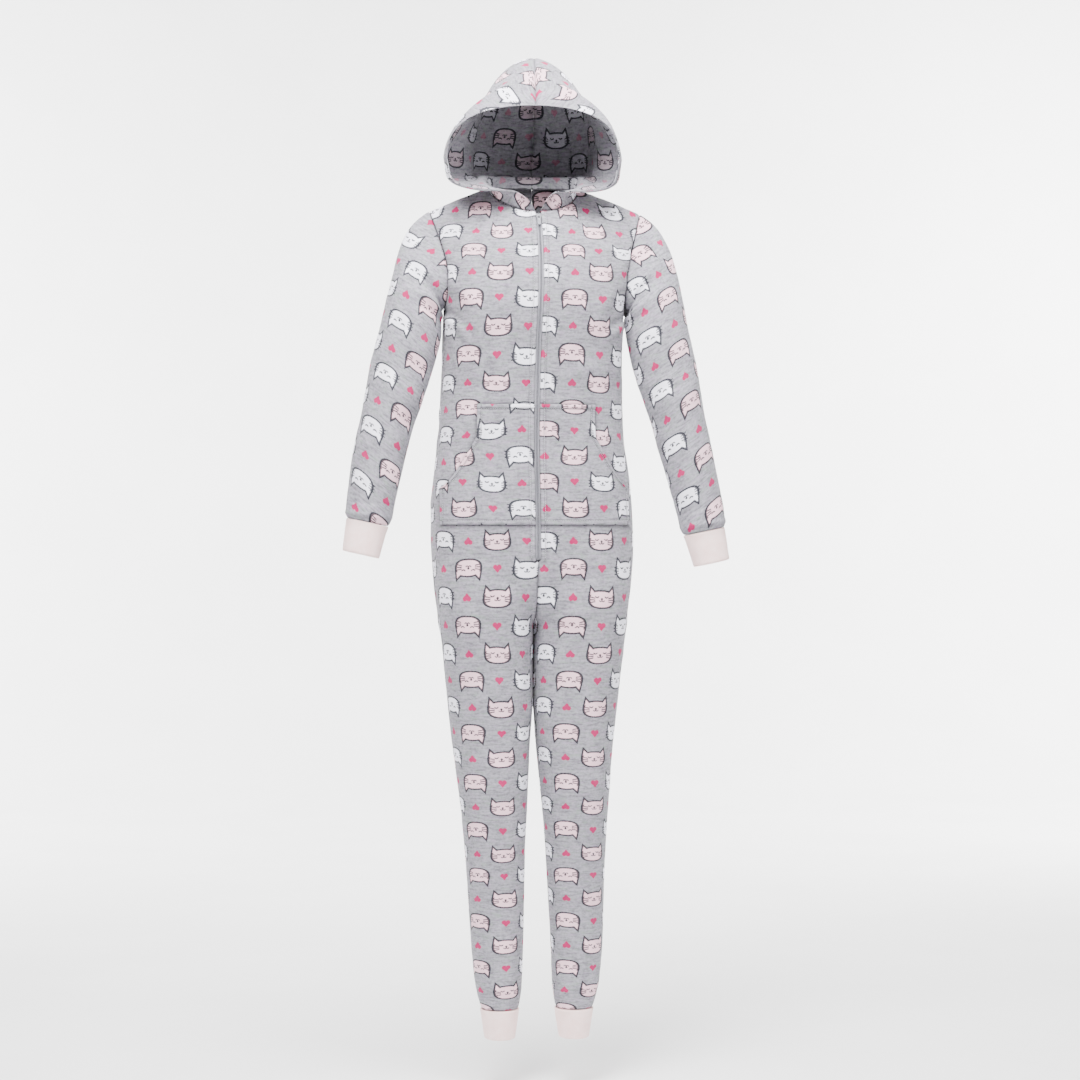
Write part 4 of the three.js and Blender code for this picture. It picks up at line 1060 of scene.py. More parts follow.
# Sleeves: rings of the inner face, with an under point, an over point, a depth and a place in Y.
ringNames = ["row", "underX", "underZ", "overX", "overZ", "depth", "back"]
sleeveRings = table(ringNames, [
    [0, 158.6, -216, 185, -43, 62, 0],
    [1, 161.4, -220, 207, -59, 62, 0],
    [2, 162.4, -226, 224, -82, 61, -2],
    [3, 163, -233, 237, -112, 59, -5],
    [4, 163.6, -242, 247, -149, 57, -9],
    [5, 164.5, -256, 257.5, -194, 55, -15],
    [6, 169.5, -284, 268, -243, 53, -21],
    [7, 182.5, -332, 281.5, -300, 51, -26],
    [8, 198, -376, 291, -352, 49, -30],
    [9, 214, -425, 301, -403, 46, -34],
    [10, 228.5, -477, 312.5, -456, 43, -37],
    [11, 241, -525, 321.5, -506, 40, -41],
    [12, 250, -560, 327.5, -545, 37, -44],
    [13, 255, -580, 329.5, -567, 35, -46],
    [14, 261, -592, 328, -578, 32, -47],
])
wristRings = table(ringNames, [
    [0, 261.4, -593.2, 327.6, -579.2, 30.5, -47],
    [1, 265.5, -603, 329, -590, 29, -48],
    [2, 272, -625, 332, -612, 28, -50],
    [3, 278, -647, 335, -634, 26.5, -52],
])
sleeveCut = {
    "drop": {1: 15, -1: 0},
    "spread": {1: 2, -1: -6},
    "lastRing": 14,
    "rows": 132,
    "around": 84,
    "holdRings": 5.33,
    "printRow": 50,
}
# Creases: along is the share of the sleeve, around is 0 under the arm, 0.5 over it and 0.25 in front.
sleeveCreaseNames = ["side", "along", "around", "slant", "reach", "width", "height"]
sleeveCreases = [dict(zip(sleeveCreaseNames, row)) for row in [
    [0, 0.16, 0.16, 1.6, 0.16, 0.03, -5],
    [0, 0.24, 0.14, 1.3, 0.15, 0.03, 4.5],
    [0, 0.2, 0.84, -1.5, 0.16, 0.03, -5],
    [0, 0.29, 0.86, -1.2, 0.14, 0.03, 4],
    [0, 0.5, 0.2, 0.25, 0.14, 0.025, -3],
    [0, 0.57, 0.24, -0.2, 0.13, 0.022, 2.6],
    [0, 0.63, 0.16, 0.2, 0.12, 0.022, -2.4],
    [0, 0.93, 0.3, 0.1, 0.25, 0.02, 2],
    [-1, 0.2, 0.2, 1.8, 0.12, 0.012, -2.6],
    [-1, 0.26, 0.2, 1.5, 0.12, 0.013, 2.2],
    [-1, 0.31, 0.17, 1.2, 0.1, 0.012, -1.8],
    [1, 0.21, 0.15, 1.2, 0.09, 0.012, -2.4],
    [1, 0.27, 0.13, 1.0, 0.09, 0.013, 2],
    [1, 0.41, 0.26, 0.4, 0.1, 0.014, 1.5],
    [-1, 0.45, 0.28, -0.3, 0.1, 0.014, 1.4],
    [1, 0.54, 0.21, 0.2, 0.11, 0.011, -1.7],
    [-1, 0.53, 0.22, -0.25, 0.11, 0.011, -1.7],
    [0, 0.7, 0.3, 0.2, 0.12, 0.014, 1.5],
    [1, 0.84, 0.24, -0.2, 0.12, 0.011, -1.4],
    [-1, 0.86, 0.26, 0.2, 0.12, 0.011, -1.4],
    [0, 0.965, 0.25, 0.0, 0.2, 0.011, -1.5],
    [0, 0.52, 0.78, 0.3, 0.13, 0.016, -2.4],
    [0, 0.6, 0.74, -0.25, 0.12, 0.015, 2.0],
    [0, 0.93, 0.75, 0.0, 0.2, 0.014, 1.8],
]]


def ringPoint(rings, row, around, side):
    turn = around * 2 * np.pi
    over = (1 - np.cos(turn)) / 2
    underX, underZ, overX, overZ = (rings[name](row) for name in ringNames[1:5])
    dropped = sleeveCut["drop"][side] * clamp((-underZ - 216) / 376)
    spread = sleeveCut["spread"][side] * np.sqrt(clamp((-underZ - 240) / 352))
    x = lerp(underX, overX, over) + spread
    y = -rings["depth"](row) * np.sin(turn) + rings["back"](row)
    z = lerp(underZ, overZ, over) - dropped
    return np.stack(np.broadcast_arrays(x, y, z), axis=-1)


def armholeLoop(around):
    share = eased(np.where(around < 0.5, 2 * around, 2 - 2 * around))
    x, z = armholeEdge(share)
    loop = bodyPoint(x, np.minimum(z, shoulderLine(x)), np.where(around < 0.5, -1, 1))
    loop[..., 0] += bodyCut["seam"] / 2
    return loop


def tubeNormals(grid):
    return facing(gridNormals(grid, True), grid - grid.mean(axis=1, keepdims=True))


# Place on the flat cloth of a tube: across from its front line, with one more column where it closes.
def tubePrint(grid, anchorRow, shift):
    closed = np.concatenate([grid, grid[:, :1]], axis=1)
    across, down = lengthsAlong(closed, 1), lengthsAlong(closed, 0)
    front = round(grid.shape[1] / 4)
    u = across - across[:, front:front + 1] + shift[0]
    return np.stack([u, shift[1] - (down - down[anchorRow] + down[anchorRow].mean())], axis=-1)


def makeSleeve(side):
    last = sleeveCut["lastRing"]
    edge = [0, 0.03, 0.07, 0.12]
    middle = np.linspace(edge[-1], last - 0.1, sleeveCut["rows"])[1:]
    row = np.concatenate([edge, middle, [last - 0.05, last]])[:, None]
    around = (np.arange(sleeveCut["around"]) / sleeveCut["around"])[None, :]
    hold = eased(clamp(1 - row / sleeveCut["holdRings"]))
    armhole = armholeLoop(around)
    away = armhole - ringPoint(sleeveRings, np.zeros((1, 1)), around, side)
    grid = ringPoint(sleeveRings, row, around, side) + away * hold[..., None]
    grid[..., 0] += 0.5 * hold * clamp(np.cos(around * 2 * np.pi))
    # at the armhole the wall lies on the outer side of the loop, as seen from the loop's middle
    outward = armhole - np.array([0, 0, bodyCut["armholeMiddleZ"]])
    outward[..., 0] = 0
    normals = unit(lerp(unit(outward), tubeNormals(grid), clamp(row)[..., None]))
    along = row / last
    folds = np.zeros(grid.shape[:2])
    for crease in onSide(sleeveCreases, side):
        aside = around - crease["around"]
        ahead = along - crease["along"] - crease["slant"] * aside * 0.3
        folds = folds + crease["height"] * gauss(ahead / crease["width"]) * gauss(aside / crease["reach"])
    down = lengthsAlong(grid, 0)
    fromEnd = down[-1:] - down
    ringTurn = np.abs(around - 0.5) * 400  # the same noise where the tube closes
    soft = softNoise(ringTurn, down + 300 * side, 40.0, 41) * 0.8 + softNoise(ringTurn, down, 16.0, 42) * 0.3
    folds = (folds + soft) * clamp(along / 0.1) * clamp((1 - along) / 0.05)
    relief = seamRelief(down, around * 500, 43) + seamRelief(fromEnd, around * 300, 44)
    lift = folds + bodyCut["fleece"] * (1 - hold)
    outer, inner = moved(grid, normals, lift + relief), moved(grid, normals, lift - bodyCut["fleece"])
    for layer in (outer, inner):
        insetEdges(layer, bodyCut["fleece"] * edgeRound - bodyCut["tuck"], "first row", "last row")
    uv = tubePrint(grid, sleeveCut["printRow"], (20.0 * side, 40.0))
    uv[..., 0] *= side
    makeCloth("sleeve", side, grid, outer, inner, uv, True, seamShade(down, fromEnd))


for side in sides:
    makeSleeve(side)
print("sleeves made")

# Knitted cuffs: doubled rib with upright ribs all round.
cuffKnit = {
    "rib": 2.8,
    "perRib": 5,
    "relief": 0.42,
    "rows": 16,
    "hem": 0.7,
    "ribCount": {"wrist": 76, "ankle": 68},
}


def makeCuff(kind, grid, side):
    normals = tubeNormals(grid)
    around = np.arange(grid.shape[1]) / grid.shape[1]
    ribs = (np.abs(np.cos(np.pi * cuffKnit["ribCount"][kind] * around)) ** 0.7 - 0.75) * cuffKnit["relief"]
    down = lengthsAlong(grid, 0)
    swell = 0.5 * gauss((down - down[-1:] * 0.45) / 26)
    soft = softNoise(np.abs(around - 0.5)[None, :] * 200, down, 14.0, 51 + side) * 0.35
    outer = moved(grid, normals, cuffKnit["rib"] + ribs[None, :] + swell + soft)
    inner = moved(grid, normals, 0.0)
    for layer in (outer, inner):
        insetEdges(layer, cuffKnit["hem"], "first row", "last row")
    makeCloth(kind, side, grid, outer, inner, tubePrint(grid, 0, (0.0, 0.0)), True)


def aroundCuff(kind):
    count = cuffKnit["ribCount"][kind] * cuffKnit["perRib"]
    return (np.arange(count) / count)[None, :]


def wristGrid(side):
    return ringPoint(wristRings, np.linspace(0, 3, cuffKnit["rows"])[:, None], aroundCuff("wrist"), side)


def ankleGrid():
    turn = aroundCuff("ankle") * 2 * np.pi
    z = np.linspace(bodyCut["ankleZ"] - bodyCut["seam"], bodyCut["hemZ"], cuffKnit["rows"])[:, None]
    centre, half, front, back, _ = sectionAt(z)
    depth = np.where(np.sin(turn) > 0, front, back)
    return np.stack(np.broadcast_arrays(centre - half * np.cos(turn), -depth * np.sin(turn), z), axis=-1)


for side in sides:
    makeCuff("wrist", wristGrid(side), side)
    makeCuff("ankle", ankleGrid(), side)
print("cuffs made")


# Kangaroo pocket, one half on each front: hemmed edges and a slanting hand opening.
# The steps are fine over a hem and coarse between the two hems.
def hemmedSteps(total, count):
    hem = np.array([0, 0.7, 1.8, 3.6, 5.4, 6.6, 7.6, 8.6, 10, 12.5])
    middle = np.linspace(hem[-1], total - hem[-1], count)[1:-1]
    return np.concatenate([hem, middle, total - hem[::-1]])


def hemRelief(distance, along, seed):
    hem = pocketCut["hem"]
    band = clamp(distance / 1.2) * clamp((hem + 1.6 - distance) / 2.4)
    pucker = softNoise(along, distance, 7.5, seed) * 0.5 * gauss((distance - hem) / 4)
    return pocketCut["hemHeight"] * band - 1.3 * gauss((distance - hem) / 0.95) + pucker


# painted shade in a hem's stitched groove, and a painted shadow right at the pocket's edge
def hemShade(distance):
    return 1.2 * gauss((distance - pocketCut["hem"]) / 1.3) + 0.7 * gauss(distance / 0.7)


def pocketSurface(side):
    base = []
    for z in pocketCut["topZ"] - hemmedSteps(pocketCut["topZ"] - pocketCut["endZ"], 38):
        arc = sectionArc(z, -1)
        total = float(np.interp(pocketOuterX(z), arc[0][:, 0], arc[1]))
        base.append(pointsAt(arc, hemmedSteps(total, 30)))
    return clothSurface(np.array(base), -1, side)


# How far the cloth stands off the front where the hand opening gapes.
def pocketGape(z, fromSide):
    openMiddle = (pocketCut["topZ"] + pocketCut["mouthZ"]) / 2
    return pocketCut["gape"] * gauss((z - openMiddle) / 42) * gauss(fromSide / 30)


def makePocket(side):
    base, normals, folds = pocketSurface(side)
    x, z = base[..., 0], base[..., 2]
    fromMiddle, fromSide, fromTop, fromEnd = edgeDistances(base)
    relief = hemRelief(fromSide, z, 61) + hemRelief(fromTop, x, 62) + hemRelief(fromEnd, x, 63)
    relief = np.minimum(relief, 1.8) + ridgeAt(fromMiddle, "height") * 0.7
    # painted shade in the stitched grooves beside the zip and along the hems
    paintedShade = ridgeAt(fromMiddle, "shade")
    for distance in (fromSide, fromTop, fromEnd):
        paintedShade = np.maximum(paintedShade, hemShade(distance))
    lift = bodyCut["seam"] + folds + pocketGape(z, fromSide)
    outer, inner = moved(base, normals, lift + pocketCut["cloth"] + relief), moved(base, normals, lift)
    for layer in (outer, inner):
        insetEdges(layer, pocketCut["cloth"] * edgeRound, "first row", "last row", "last column")
    uv = bodyPrint(base, side, pocketCut["printShift"][side])
    makeCloth("pocket", side, base, outer, inner, uv, paintedShade=paintedShade)


for side in sides:
    makePocket(side)
print("pockets made")

# The hood: an outer cloth and a lining of the same fleece. Each half runs from the neckline, out over the
# collar's roll to the widest level, and up to a centre seam over the top and down the back.
hoodCut = {
    "rimWidestY": -72.0,
    "rimWidestZ": 40.0,
    "rimTopY": -100.0,
    "rimTopZ": 128.0,
    "apexY": 42.0,
    "apexZ": 234.0,
    "backY": 126.0,
    "backZ": 62.0,
    "seamCornerShare": 0.5,
    "power": 1.9,
    "liningTuck": 4.5,
    "rollRows": 34,
    "domeRows": 52,
    "columns": 60,
}
hoodSections = table(["y", "half", "power"], [
    [-100, 150, 2],
    [-72, 152, 1.95],
    [-50, 156, 1.55],
    [-30, 154, 1.4],
    [0, 134, 1.5],
    [20, 120, 1.7],
    [42, 112, 1.95],
])
collarRoll = table(["row", "out", "up", "forward"], [
    [0, 0, 0, 0],
    [0.167, 0.09, 0.22, 6],
    [0.333, 0.24, 0.335, 10],
    [0.5, 0.48, 0.335, 9],
    [0.667, 0.75, 0.39, 5],
    [0.833, 0.935, 0.57, 1],
    [1, 1, 1, 0],
])


def hoodTopZ(y):
    ahead = np.maximum(0, hoodCut["apexY"] - y) / (hoodCut["apexY"] - hoodCut["rimTopY"])
    return hoodCut["apexZ"] - (hoodCut["apexZ"] - hoodCut["rimTopZ"]) * ahead * ahead


def hoodWidestZ(y):
    share = clamp((y - hoodCut["rimWidestY"]) / (hoodCut["backY"] - hoodCut["rimWidestY"]))
    return lerp(hoodCut["rimWidestZ"], hoodCut["backZ"], share)


def hoodHalfWidth(y, z):
    power = hoodSections["power"](y)
    behind = np.maximum(0, y - hoodCut["apexY"]) / (hoodCut["backY"] - hoodCut["apexY"])
    low = hoodWidestZ(y)
    above = clamp((z - low) / (hoodTopZ(y) - low))
    return hoodSections["half"](y) * clamp(1 - behind ** power - above ** power) ** (1 / power)


def hoodBackSeam(share):
    turn, power = share * np.pi / 2, hoodCut["power"]
    y = lerp(hoodCut["apexY"], hoodCut["backY"], np.sin(turn) ** (2 / power))
    return y, lerp(hoodWidestZ(y), hoodCut["apexZ"], clamp(np.cos(turn)) ** (2 / power))


def hoodTopSeam(share):
    cornerY, _ = hoodBackSeam(hoodCut["seamCornerShare"])
    y = lerp(hoodCut["rimTopY"], cornerY, share)
    power = hoodCut["power"]
    behind = clamp((y - hoodCut["apexY"]) / (hoodCut["backY"] - hoodCut["apexY"]))
    above = clamp(1 - behind ** power) ** (1 / power)
    return y, np.where(y <= hoodCut["apexY"], hoodTopZ(y), lerp(hoodWidestZ(y), hoodCut["apexZ"], above))


def hoodDome(rise, back):
    widestY = lerp(hoodCut["rimWidestY"], hoodCut["backY"], np.sin(back * np.pi / 2) ** 0.9)
    widestZ = hoodWidestZ(widestY)
    topY, topZ = hoodTopSeam(back)
    up = np.sin(rise * np.pi / 2)
    rimY = lerp(hoodCut["rimWidestY"], hoodCut["rimTopY"], up ** 1.6)
    seamY, seamZ = hoodBackSeam(lerp(1, hoodCut["seamCornerShare"], rise))
    straightRimY = lerp(hoodCut["rimWidestY"], hoodCut["rimTopY"], up)
    straightY, straightZ = lerp(widestY[:, -1:], topY[:, -1:], up), lerp(widestZ[:, -1:], topZ[:, -1:], up)
    y = lerp(widestY, topY, up) + (1 - back) * (rimY - straightRimY) + back * (seamY - straightY)
    z = lerp(widestZ, topZ, up) + back * (seamZ - straightZ)
    x = np.where((rise == 1) | (back == 1), 0, hoodHalfWidth(y, z))
    return np.stack([x, y, z], axis=-1)


def necklinePoint(share):
    turn, neckHalf = share * np.pi, bodyCut["neckHalf"]
    x = np.maximum(bodyCut["zipHalf"], neckHalf * np.sin(turn))
    isFront = share < 0.5
    lowest = np.where(isFront, bodyCut["frontNeckZ"], bodyCut["backNeckZ"])
    z = lowest * np.sqrt(clamp(1 - (x / neckHalf) ** 2))
    placed = bodyPoint(x, np.minimum(z, shoulderLine(x) - 0.01), np.where(isFront, -1, 1))
    placed[..., 0] = np.where(isFront, x, neckHalf * np.sin(turn))
    return placed


def hoodGrid():
    edge = [0, 0.01, 0.025, 0.045]
    middle = np.linspace(edge[-1], 0.97, hoodCut["columns"])[1:]
    back = np.concatenate([edge, middle, [0.982, 0.991, 1]])[None, :]
    rise = np.concatenate([np.linspace(0, 0.975, hoodCut["domeRows"]), [0.985, 0.993, 1]])[:, None]
    dome = hoodDome(rise, back)
    widest = dome[:1]
    row = np.linspace(0, 1, hoodCut["rollRows"], endpoint=False)[:, None]
    backward = (widest[..., 1] - hoodCut["rimWidestY"]) / (hoodCut["backY"] - hoodCut["rimWidestY"])
    neck = necklinePoint(np.arccos(clamp(1 - 2 * backward, -1, 1)) / np.pi)
    out, up = collarRoll["out"](row), collarRoll["up"](row)
    forward = collarRoll["forward"](row) * (1 - backward) ** 2
    x = lerp(neck[..., 0], widest[..., 0], out)
    y = lerp(neck[..., 1], widest[..., 1], out) - forward
    z = lerp(neck[..., 2], widest[..., 2], up)
    return np.concatenate([np.stack([x, y, z], axis=-1), dome])


# Creases of the hood: place as shares from the face edge back and from the neckline up, then turn and size.
hoodCreaseNames = ["side", "back", "up", "turn", "length", "width", "height"]
hoodCreases = [dict(zip(hoodCreaseNames, row)) for row in [
    [0, 0.34, 0.26, 0.5, 0.2, 0.03, 2.0],
    [1, 0.5, 0.34, 0.8, 0.22, 0.03, -2.2],
    [-1, 0.55, 0.36, 0.7, 0.2, 0.03, -2.2],
    [0, 0.72, 0.42, 1.0, 0.2, 0.035, 2.2],
    [0, 0.2, 0.6, 1.3, 0.2, 0.03, -1.6],
    [1, 0.4, 0.72, 1.1, 0.2, 0.03, 1.8],
    [-1, 0.36, 0.68, 1.2, 0.2, 0.03, 1.8],
    [0, 0.86, 0.3, 0.2, 0.14, 0.025, -2.0],
]]


def hoodSurface(side):
    grid = hoodGrid()
    outward = grid - np.array([0, 0, 70.0])
    normals = gridNormals(grid)
    dome = hoodCut["rollRows"]
    if np.sum(normals[dome:] * outward[dome:]) <= 0:
        normals = -normals
    # along the seams that lie in the middle plane the normals lie in it too
    normals[:, -1, 0] = 0
    normals[-1, :, 0] = 0
    normals = unit(normals)
    normals[-1, -1] = unit(normals[-1, -2] + normals[-2, -1])
    up, back = (np.linspace(0, 1, count) for count in grid.shape[:2])
    up, back = up[:, None], back[None, :]
    folds = softNoise(grid[..., 1] + 300 * side, grid[..., 2], 38.0, 71) * 0.8
    for crease in onSide(hoodCreases, side):
        folds = folds + creaseRise(crease, crease["turn"], back - crease["back"], up - crease["up"])
    edges = clamp(up / 0.12) * clamp((1 - back) / 0.06) * clamp((1 - up) / 0.06) * clamp(back / 0.05)
    return grid, normals, folds * edges


def hoodPrint(grid, side, shift):
    across, up = lengthsAlong(grid, 1), lengthsAlong(grid, 0)
    widestRow = hoodCut["rollRows"]
    u = side * (across[:, -1:] - across) + shift[0]
    return np.stack([u, up - up[widestRow] + shift[1]], axis=-1)


hoodLayers = {
    "hood": {"start": 0.0, "wall": 2.0, "shift": (51.0, 20.0)},
    "lining": {"start": 2.3, "wall": 1.6, "shift": (102.0, -8.0), "rimInset": 1.2},
}


def makeHoodLayer(kind, side):
    layer, isOuter = hoodLayers[kind], kind == "hood"
    grid, normals, folds = hoodSurface(side)
    fromRim, fromSeam, fromNeck, fromTop = edgeDistances(grid)
    topLine = grid[..., 2] + grid[..., 1]
    seams = seamRelief(np.minimum(fromSeam, fromTop), topLine, 73) + seamRelief(fromNeck, grid[..., 0], 74)
    roll = -1.4 * gauss(fromRim / 1.6)  # the rim rolls in over the lining
    relief, innerRelief = (seams + roll, 0.0) if isOuter else (0.0, -seams * 0.8)
    outer = moved(grid, normals, folds - layer["start"] + relief)
    inner = moved(grid, normals, folds - layer["start"] - layer["wall"] + innerRelief)
    middle = bodyCut["seam"] / 2
    for made in (outer, inner):
        made[:, -1, 0] = middle
        made[-1, :, 0] = middle
        made[..., 0] = np.maximum(made[..., 0], middle)
        if not isOuter:
            # the lining's lower edge is tucked down inside the neckline
            insetEdges(made, -hoodCut["liningTuck"], "first row")
            insetEdges(made, layer["rimInset"], "first column")
    if isOuter:
        paintedShade = seamShade(fromSeam, fromTop, fromNeck)
    else:
        # painted shade inside the hood: none near the rim, deeper further in, and darkest in the collar's roll
        isRoll = (np.arange(len(grid)) < hoodCut["rollRows"])[:, None]
        paintedShade = (0.55 + 0.75 * isRoll) * eased(clamp((fromRim - 25) / 95))
    makeCloth(kind, side, grid, outer, inner, hoodPrint(grid, side, layer["shift"]), paintedShade=paintedShade)


for side in sides:
    for kind in hoodLayers:
        makeHoodLayer(kind, side)
print("hood made")

# The zip: two woven tapes under the front edges, a coil of teeth between them, a slider and its pull.
zipParts = {
    "tapeInner": 0.15,
    "tapeOuter": 13.0,
    "tapeFace": 2.3,
    "tapeBack": 3.3,
    "coilDepth": 1.75,
    "toothSpacing": 1.3,
    "toothLength": 2.5,
    "toothThick": 0.34,
    "toothOffset": 0.95,
}


# Points beside the zip: x from the middle, and a depth below the front's face.
def besideZip():
    plain, normals, _ = surfaces[-1, 1]
    isBeside = plain[:, 0, 2] > bodyCut["zipEndZ"] + 2
    ridgeColumn = columnPlan[-1]["head"].index(bodyCut["ridgeWidth"])
    edge, ridge, flat = plain[isBeside, 0], plain[isBeside, ridgeColumn], normals[isBeside, ridgeColumn]
    flat[:, 0] = 0
    flat = unit(flat)

    def line(x, depth):
        share = max(0.0, (x - bodyCut["zipHalf"]) / bodyCut["ridgeWidth"])
        made = lerp(edge, ridge, share)
        made[:, 0] = x
        return made - flat * depth

    return line


zipLine = besideZip()


def makeTape(side):
    across = [zipParts["tapeInner"], 2.6, 4.4, 6.5, 8.6, 10.8, zipParts["tapeOuter"]]
    depths = (zipParts["tapeFace"], zipParts["tapeBack"])
    outer, inner = (np.stack([zipLine(x, depth) for x in across], axis=1)[2:] for depth in depths)
    uv = np.stack([np.broadcast_to(across, outer.shape[:2]), -lengthsAlong(outer, 0)], axis=-1)
    makeCloth("tape", side, outer, outer, inner, uv)


for side in sides:
    makeTape(side)
print("zip tapes made")


# Geometry nodes that set a small rod at even spacing along each line of a mesh.
rodSizes = ("Spacing", "Length", "Radius", "Aside")
rodNodes = {
    "start": "NodeGroupInput",
    "end": "NodeGroupOutput",
    "curve": "GeometryNodeMeshToCurve",
    "points": "GeometryNodeCurveToPoints",
    "rod": "GeometryNodeMeshUVSphere",
    "half": "ShaderNodeMath",
    "size": "ShaderNodeCombineXYZ",
    "offset": "ShaderNodeCombineXYZ",
    "shaped": "GeometryNodeTransform",
    "instances": "GeometryNodeInstanceOnPoints",
    "realized": "GeometryNodeRealizeInstances",
    "smooth": "GeometryNodeSetShadeSmooth",
    "painted": "GeometryNodeSetMaterial",
}
rodLinks = [
    "start.Geometry curve.Mesh",
    "curve.Curve points.Curve",
    "start.Spacing points.Length",
    "start.Length half.Value",
    "start.Aside offset.X",
    "rod.Mesh shaped.Geometry",
    "size.Vector shaped.Scale",
    "offset.Vector shaped.Translation",
    "points.Points instances.Points",
    "shaped.Geometry instances.Instance",
    "instances.Instances realized.Geometry",
    "realized.Geometry smooth.Geometry",
    "smooth.Geometry painted.Geometry",
    "start.Material painted.Material",
    "painted.Geometry end.Geometry",
]


def rodTree(name, isAcross):
    tree = bpy.data.node_groups.new(name, "GeometryNodeTree")
    sockets = {}
    kinds = {"Geometry": "Geometry", **dict.fromkeys(rodSizes, "Float"), "Material": "Material"}
    for label, kind in kinds.items():
        socket = tree.interface.new_socket(label, in_out="INPUT", socket_type="NodeSocket" + kind)
        sockets[label] = socket.identifier
    tree.interface.new_socket("Geometry", in_out="OUTPUT", socket_type="NodeSocketGeometry")
    nodes = {label: tree.nodes.new(kind) for label, kind in rodNodes.items()}
    nodes["points"].mode = "LENGTH"
    for label, value in (("Segments", 6), ("Rings", 4), ("Radius", 1.0)):
        nodes["rod"].inputs[label].default_value = value
    nodes["half"].operation = "MULTIPLY"
    nodes["half"].inputs[1].default_value = 0.5
    long, thin = ("X", "YZ") if isAcross else ("Z", "XY")
    links = [f"half.Value size.{long}", *[f"start.Radius size.{axis}" for axis in thin]]
    if not isAcross:
        links.append("points.Rotation instances.Rotation")
    for link in rodLinks + links:
        (source, output), (target, entry) = (end.split(".") for end in link.split())
        tree.links.new(nodes[source].outputs[output], nodes[target].inputs[entry])
    return tree, sockets


stitchTree, toothTree = rodTree("stitch line", False), rodTree("zip teeth", True)


def rodsAlong(name, lines, treeAndSockets, sizes, material):
    tree, sockets = treeAndSockets
    points, edges = [], []
    for line in lines:
        first = len(points)
        points += (line * mm).tolist()
        edges += [(first + k, first + k + 1) for k in range(len(line) - 1)]
    mesh = bpy.data.meshes.new(name + " lines")
    mesh.from_pydata(points, edges, [])
    guide = bpy.data.objects.new(name + " lines", mesh)
    scene.collection.objects.link(guide)
    modifier = guide.modifiers.new("rods", "NODES")
    modifier.node_group = tree
    for label, value in zip(rodSizes, sizes):
        modifier[sockets[label]] = value * mm
    modifier[sockets["Material"]] = material
    depsgraph = bpy.context.evaluated_depsgraph_get()
    made = bpy.data.meshes.new_from_object(guide.evaluated_get(depsgraph), depsgraph=depsgraph)
    bpy.data.objects.remove(guide)
    made.name = name
    return addPiece(name, made, material)


stitchSizes = (3.0, 2.3, 0.3, 0.0)


def sewing(name, lines):
    return rodsAlong(name, lines, stitchTree, stitchSizes, materials["thread"])


def makeTeeth():
    middle = stand(zipLine(0.0, zipParts["coilDepth"]), 1)[2:]
    spacing, length, thick = (zipParts[name] for name in ("toothSpacing", "toothLength", "toothThick"))
    for side, sideName in sides.items():
        line = middle if side > 0 else middle - np.array([0, 0, spacing / 2])
        sizes = (spacing, length, thick, zipParts["toothOffset"] * side)
        rodsAlong(f"zipTeeth_{sideName}", [line], toothTree, sizes, materials["coil"])


makeTeeth()
print("zip teeth set")


# Stitch lines beside the zip and round the pockets, sunk a little into the nap.
def panelStitches(side):
    plain, normals, folds = surfaces[-1, side]
    column = columnPlan[-1]["head"].index(7.2)
    z = plain[:, column, 2]
    sewn = moved(plain[:, column], normals[:, column], folds[:, column] + 0.4)
    above = sewn[(z > pocketCut["topZ"] + 2) & (z < 0)][2:]
    below = sewn[(z > bodyCut["zipEndZ"] + 6) & (z < pocketCut["endZ"] - 2)]
    return [stand(line, side) for line in (above, below)]


def pocketStitches(side):
    base, normals, folds = pocketSurface(side)
    _, fromSide, _, _ = edgeDistances(base)
    lift = bodyCut["seam"] + folds + pocketCut["cloth"]
    sewn = moved(base, normals, lift + pocketGape(base[..., 2], fromSide) + 0.25)
    near = 6  # the grid line that lies on the hem's stitches
    lines = [sewn[near, near:-near], sewn[-near - 1, near:-near], sewn[near:-near, -near - 1]]
    lines.append(moved(base, normals, lift + 0.3)[:, near])
    return [stand(line, side) for line in lines]


for side, sideName in sides.items():
    sewings["front", side] = sewing(f"zipStitches_{sideName}", panelStitches(side))
    sewings["pocket", side] = sewing(f"pocketStitches_{sideName}", pocketStitches(side))
print("stitches set")


# The slider and its pull keep the solids' shape, with softened edges.
def makeSoftened(nodeName, pieceName, body, bevelWidth):
    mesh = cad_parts[nodeName].data.copy()
    mesh.name = pieceName
    weld(mesh, math.radians(1))
    piece = addPiece(pieceName, mesh, materials["metal"], body=body, nodes=[nodeName])
    bevel = piece.modifiers.new("softened", "BEVEL")
    bevel.width = bevelWidth * mm
    bevel.segments = 3
    bevel.limit_method = "ANGLE"
    mesh.set_sharp_from_angle(angle=math.radians(50))


makeSoftened("zip_slider", "zipSlider", "garment", 0.3)
makeSoftened("zip_pull", "zipPull", "zip_pull", 0.25)
print("slider and pull made")

print("all cloth pieces made")

# A plain pale floor that curves up into a wall, a little below where the feet's soles would be.
studio = {
    "floorZ": -1.575,
    "half": 9.0,
    "wallY": 5.6,
    "curve": 1.2,
    "curveSteps": 24,
    "wallTop": 6.0,
    "ambient": 0.45,
    "backdrop": 3.6,
}


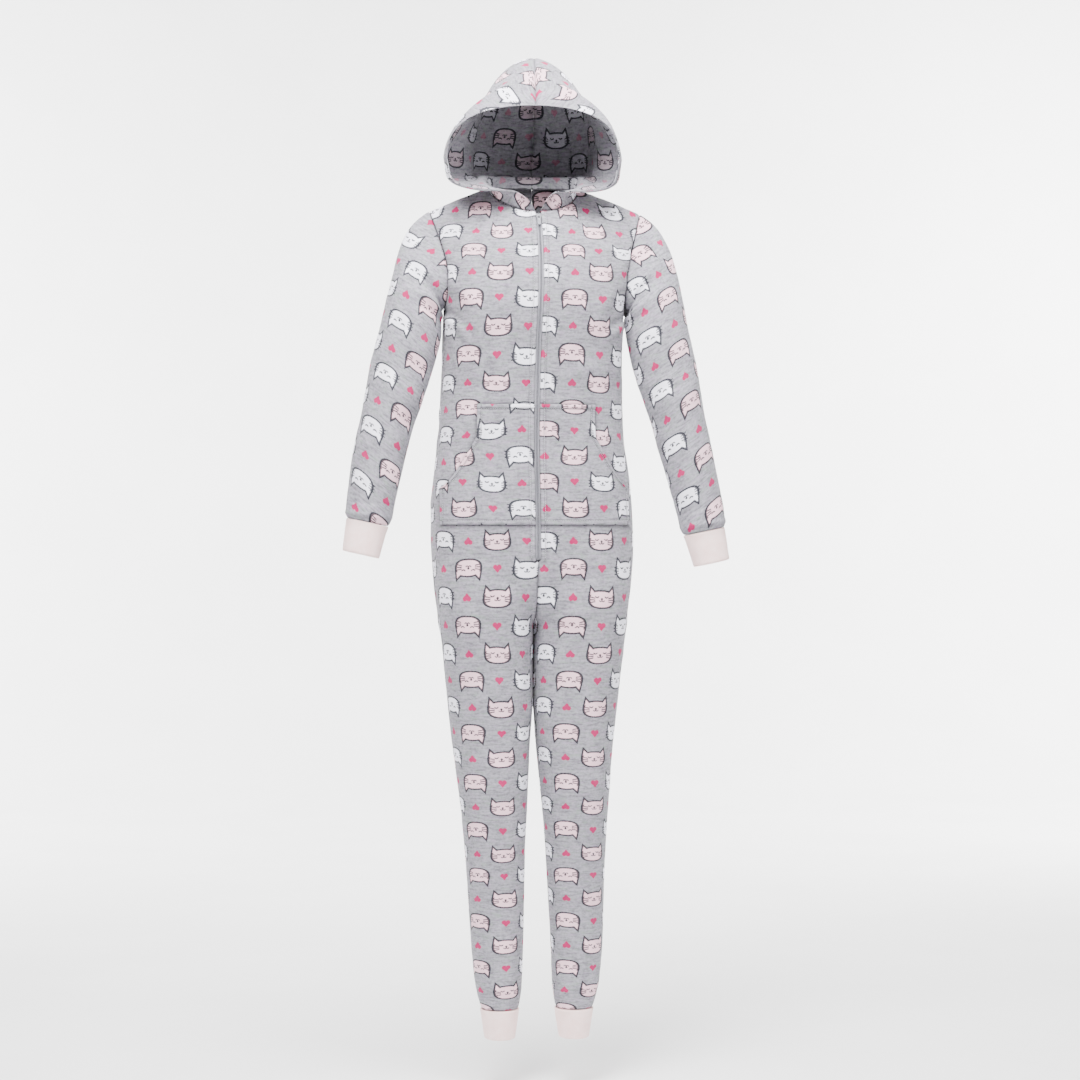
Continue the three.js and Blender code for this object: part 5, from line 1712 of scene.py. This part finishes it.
def makeFloor():
    profile = [(-studio["half"], studio["floorZ"])]
    for step in range(studio["curveSteps"] + 1):
        turn = step / studio["curveSteps"] * math.pi / 2
        y = studio["wallY"] - studio["curve"] + studio["curve"] * math.sin(turn)
        z = studio["floorZ"] + studio["curve"] * (1 - math.cos(turn))
        profile.append((y, z))
    profile.append((studio["wallY"], studio["wallTop"]))
    points = [(side * studio["half"], y, z) for y, z in profile for side in (-1, 1)]
    faces = [(2 * k, 2 * k + 1, 2 * k + 3, 2 * k + 2) for k in range(len(profile) - 1)]
    mesh = bpy.data.meshes.new("floor")
    mesh.from_pydata(points, [], faces)
    mesh.polygons.foreach_set("use_smooth", [True] * len(faces))
    mesh.materials.append(materials["floor"])
    floor = bpy.data.objects.new("floor", mesh)
    scene.collection.objects.link(floor)
    floor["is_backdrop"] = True


lamps = {
    "key": {"at": (-1.4, -2.6, 2.3), "aim": (0, 0, 0.0), "size": 1.8, "watts": 310},
    "fill": {"at": (2.6, -2.7, 0.9), "aim": (0, 0, -0.2), "size": 2.4, "watts": 70},
    "top": {"at": (0.0, -0.9, 1.9), "aim": (0, 0, 0.0), "size": 1.4, "watts": 235},
    "rear": {"at": (1.8, 2.0, 2.0), "aim": (0, 0, -0.5), "size": 2.0, "watts": 90},
    "wallLeft": {"at": (-3.4, 3.2, 0.6), "aim": (-1.2, 5.6, -0.4), "size": 2.4, "watts": 520},
    "wallRight": {"at": (3.4, 3.2, 0.6), "aim": (1.2, 5.6, -0.4), "size": 2.4, "watts": 520},
}


def makeLamps():
    for name, lamp in lamps.items():
        data = bpy.data.lights.new(name, "AREA")
        data.size = lamp["size"]
        data.energy = lamp["watts"]
        light = bpy.data.objects.new(name, data)
        light.location = lamp["at"]
        aim = Vector(lamp["aim"]) - Vector(lamp["at"])
        light.rotation_euler = aim.to_track_quat("-Z", "Y").to_euler()
        scene.collection.objects.link(light)
    world = bpy.data.worlds.new("studio")
    world.use_nodes = True
    # the world is seen as a pale backdrop and lights the garment less brightly
    tree = world.node_tree
    seen = tree.nodes.new("ShaderNodeLightPath").outputs["Is Camera Ray"]
    strength = tree.nodes.new("ShaderNodeMapRange")
    strength.inputs["To Min"].default_value = studio["ambient"]
    strength.inputs["To Max"].default_value = studio["backdrop"]
    tree.links.new(seen, strength.inputs["Value"])
    background = tree.nodes["Background"]
    background.inputs["Color"].default_value = (1, 1, 1, 1)
    tree.links.new(strength.outputs["Result"], background.inputs["Strength"])
    scene.world = world


makeFloor()
makeLamps()
print("studio ready")

sizes = {"cad": [list(corner) for corner in cadBounds], "visual": [list(corner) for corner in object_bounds()]}
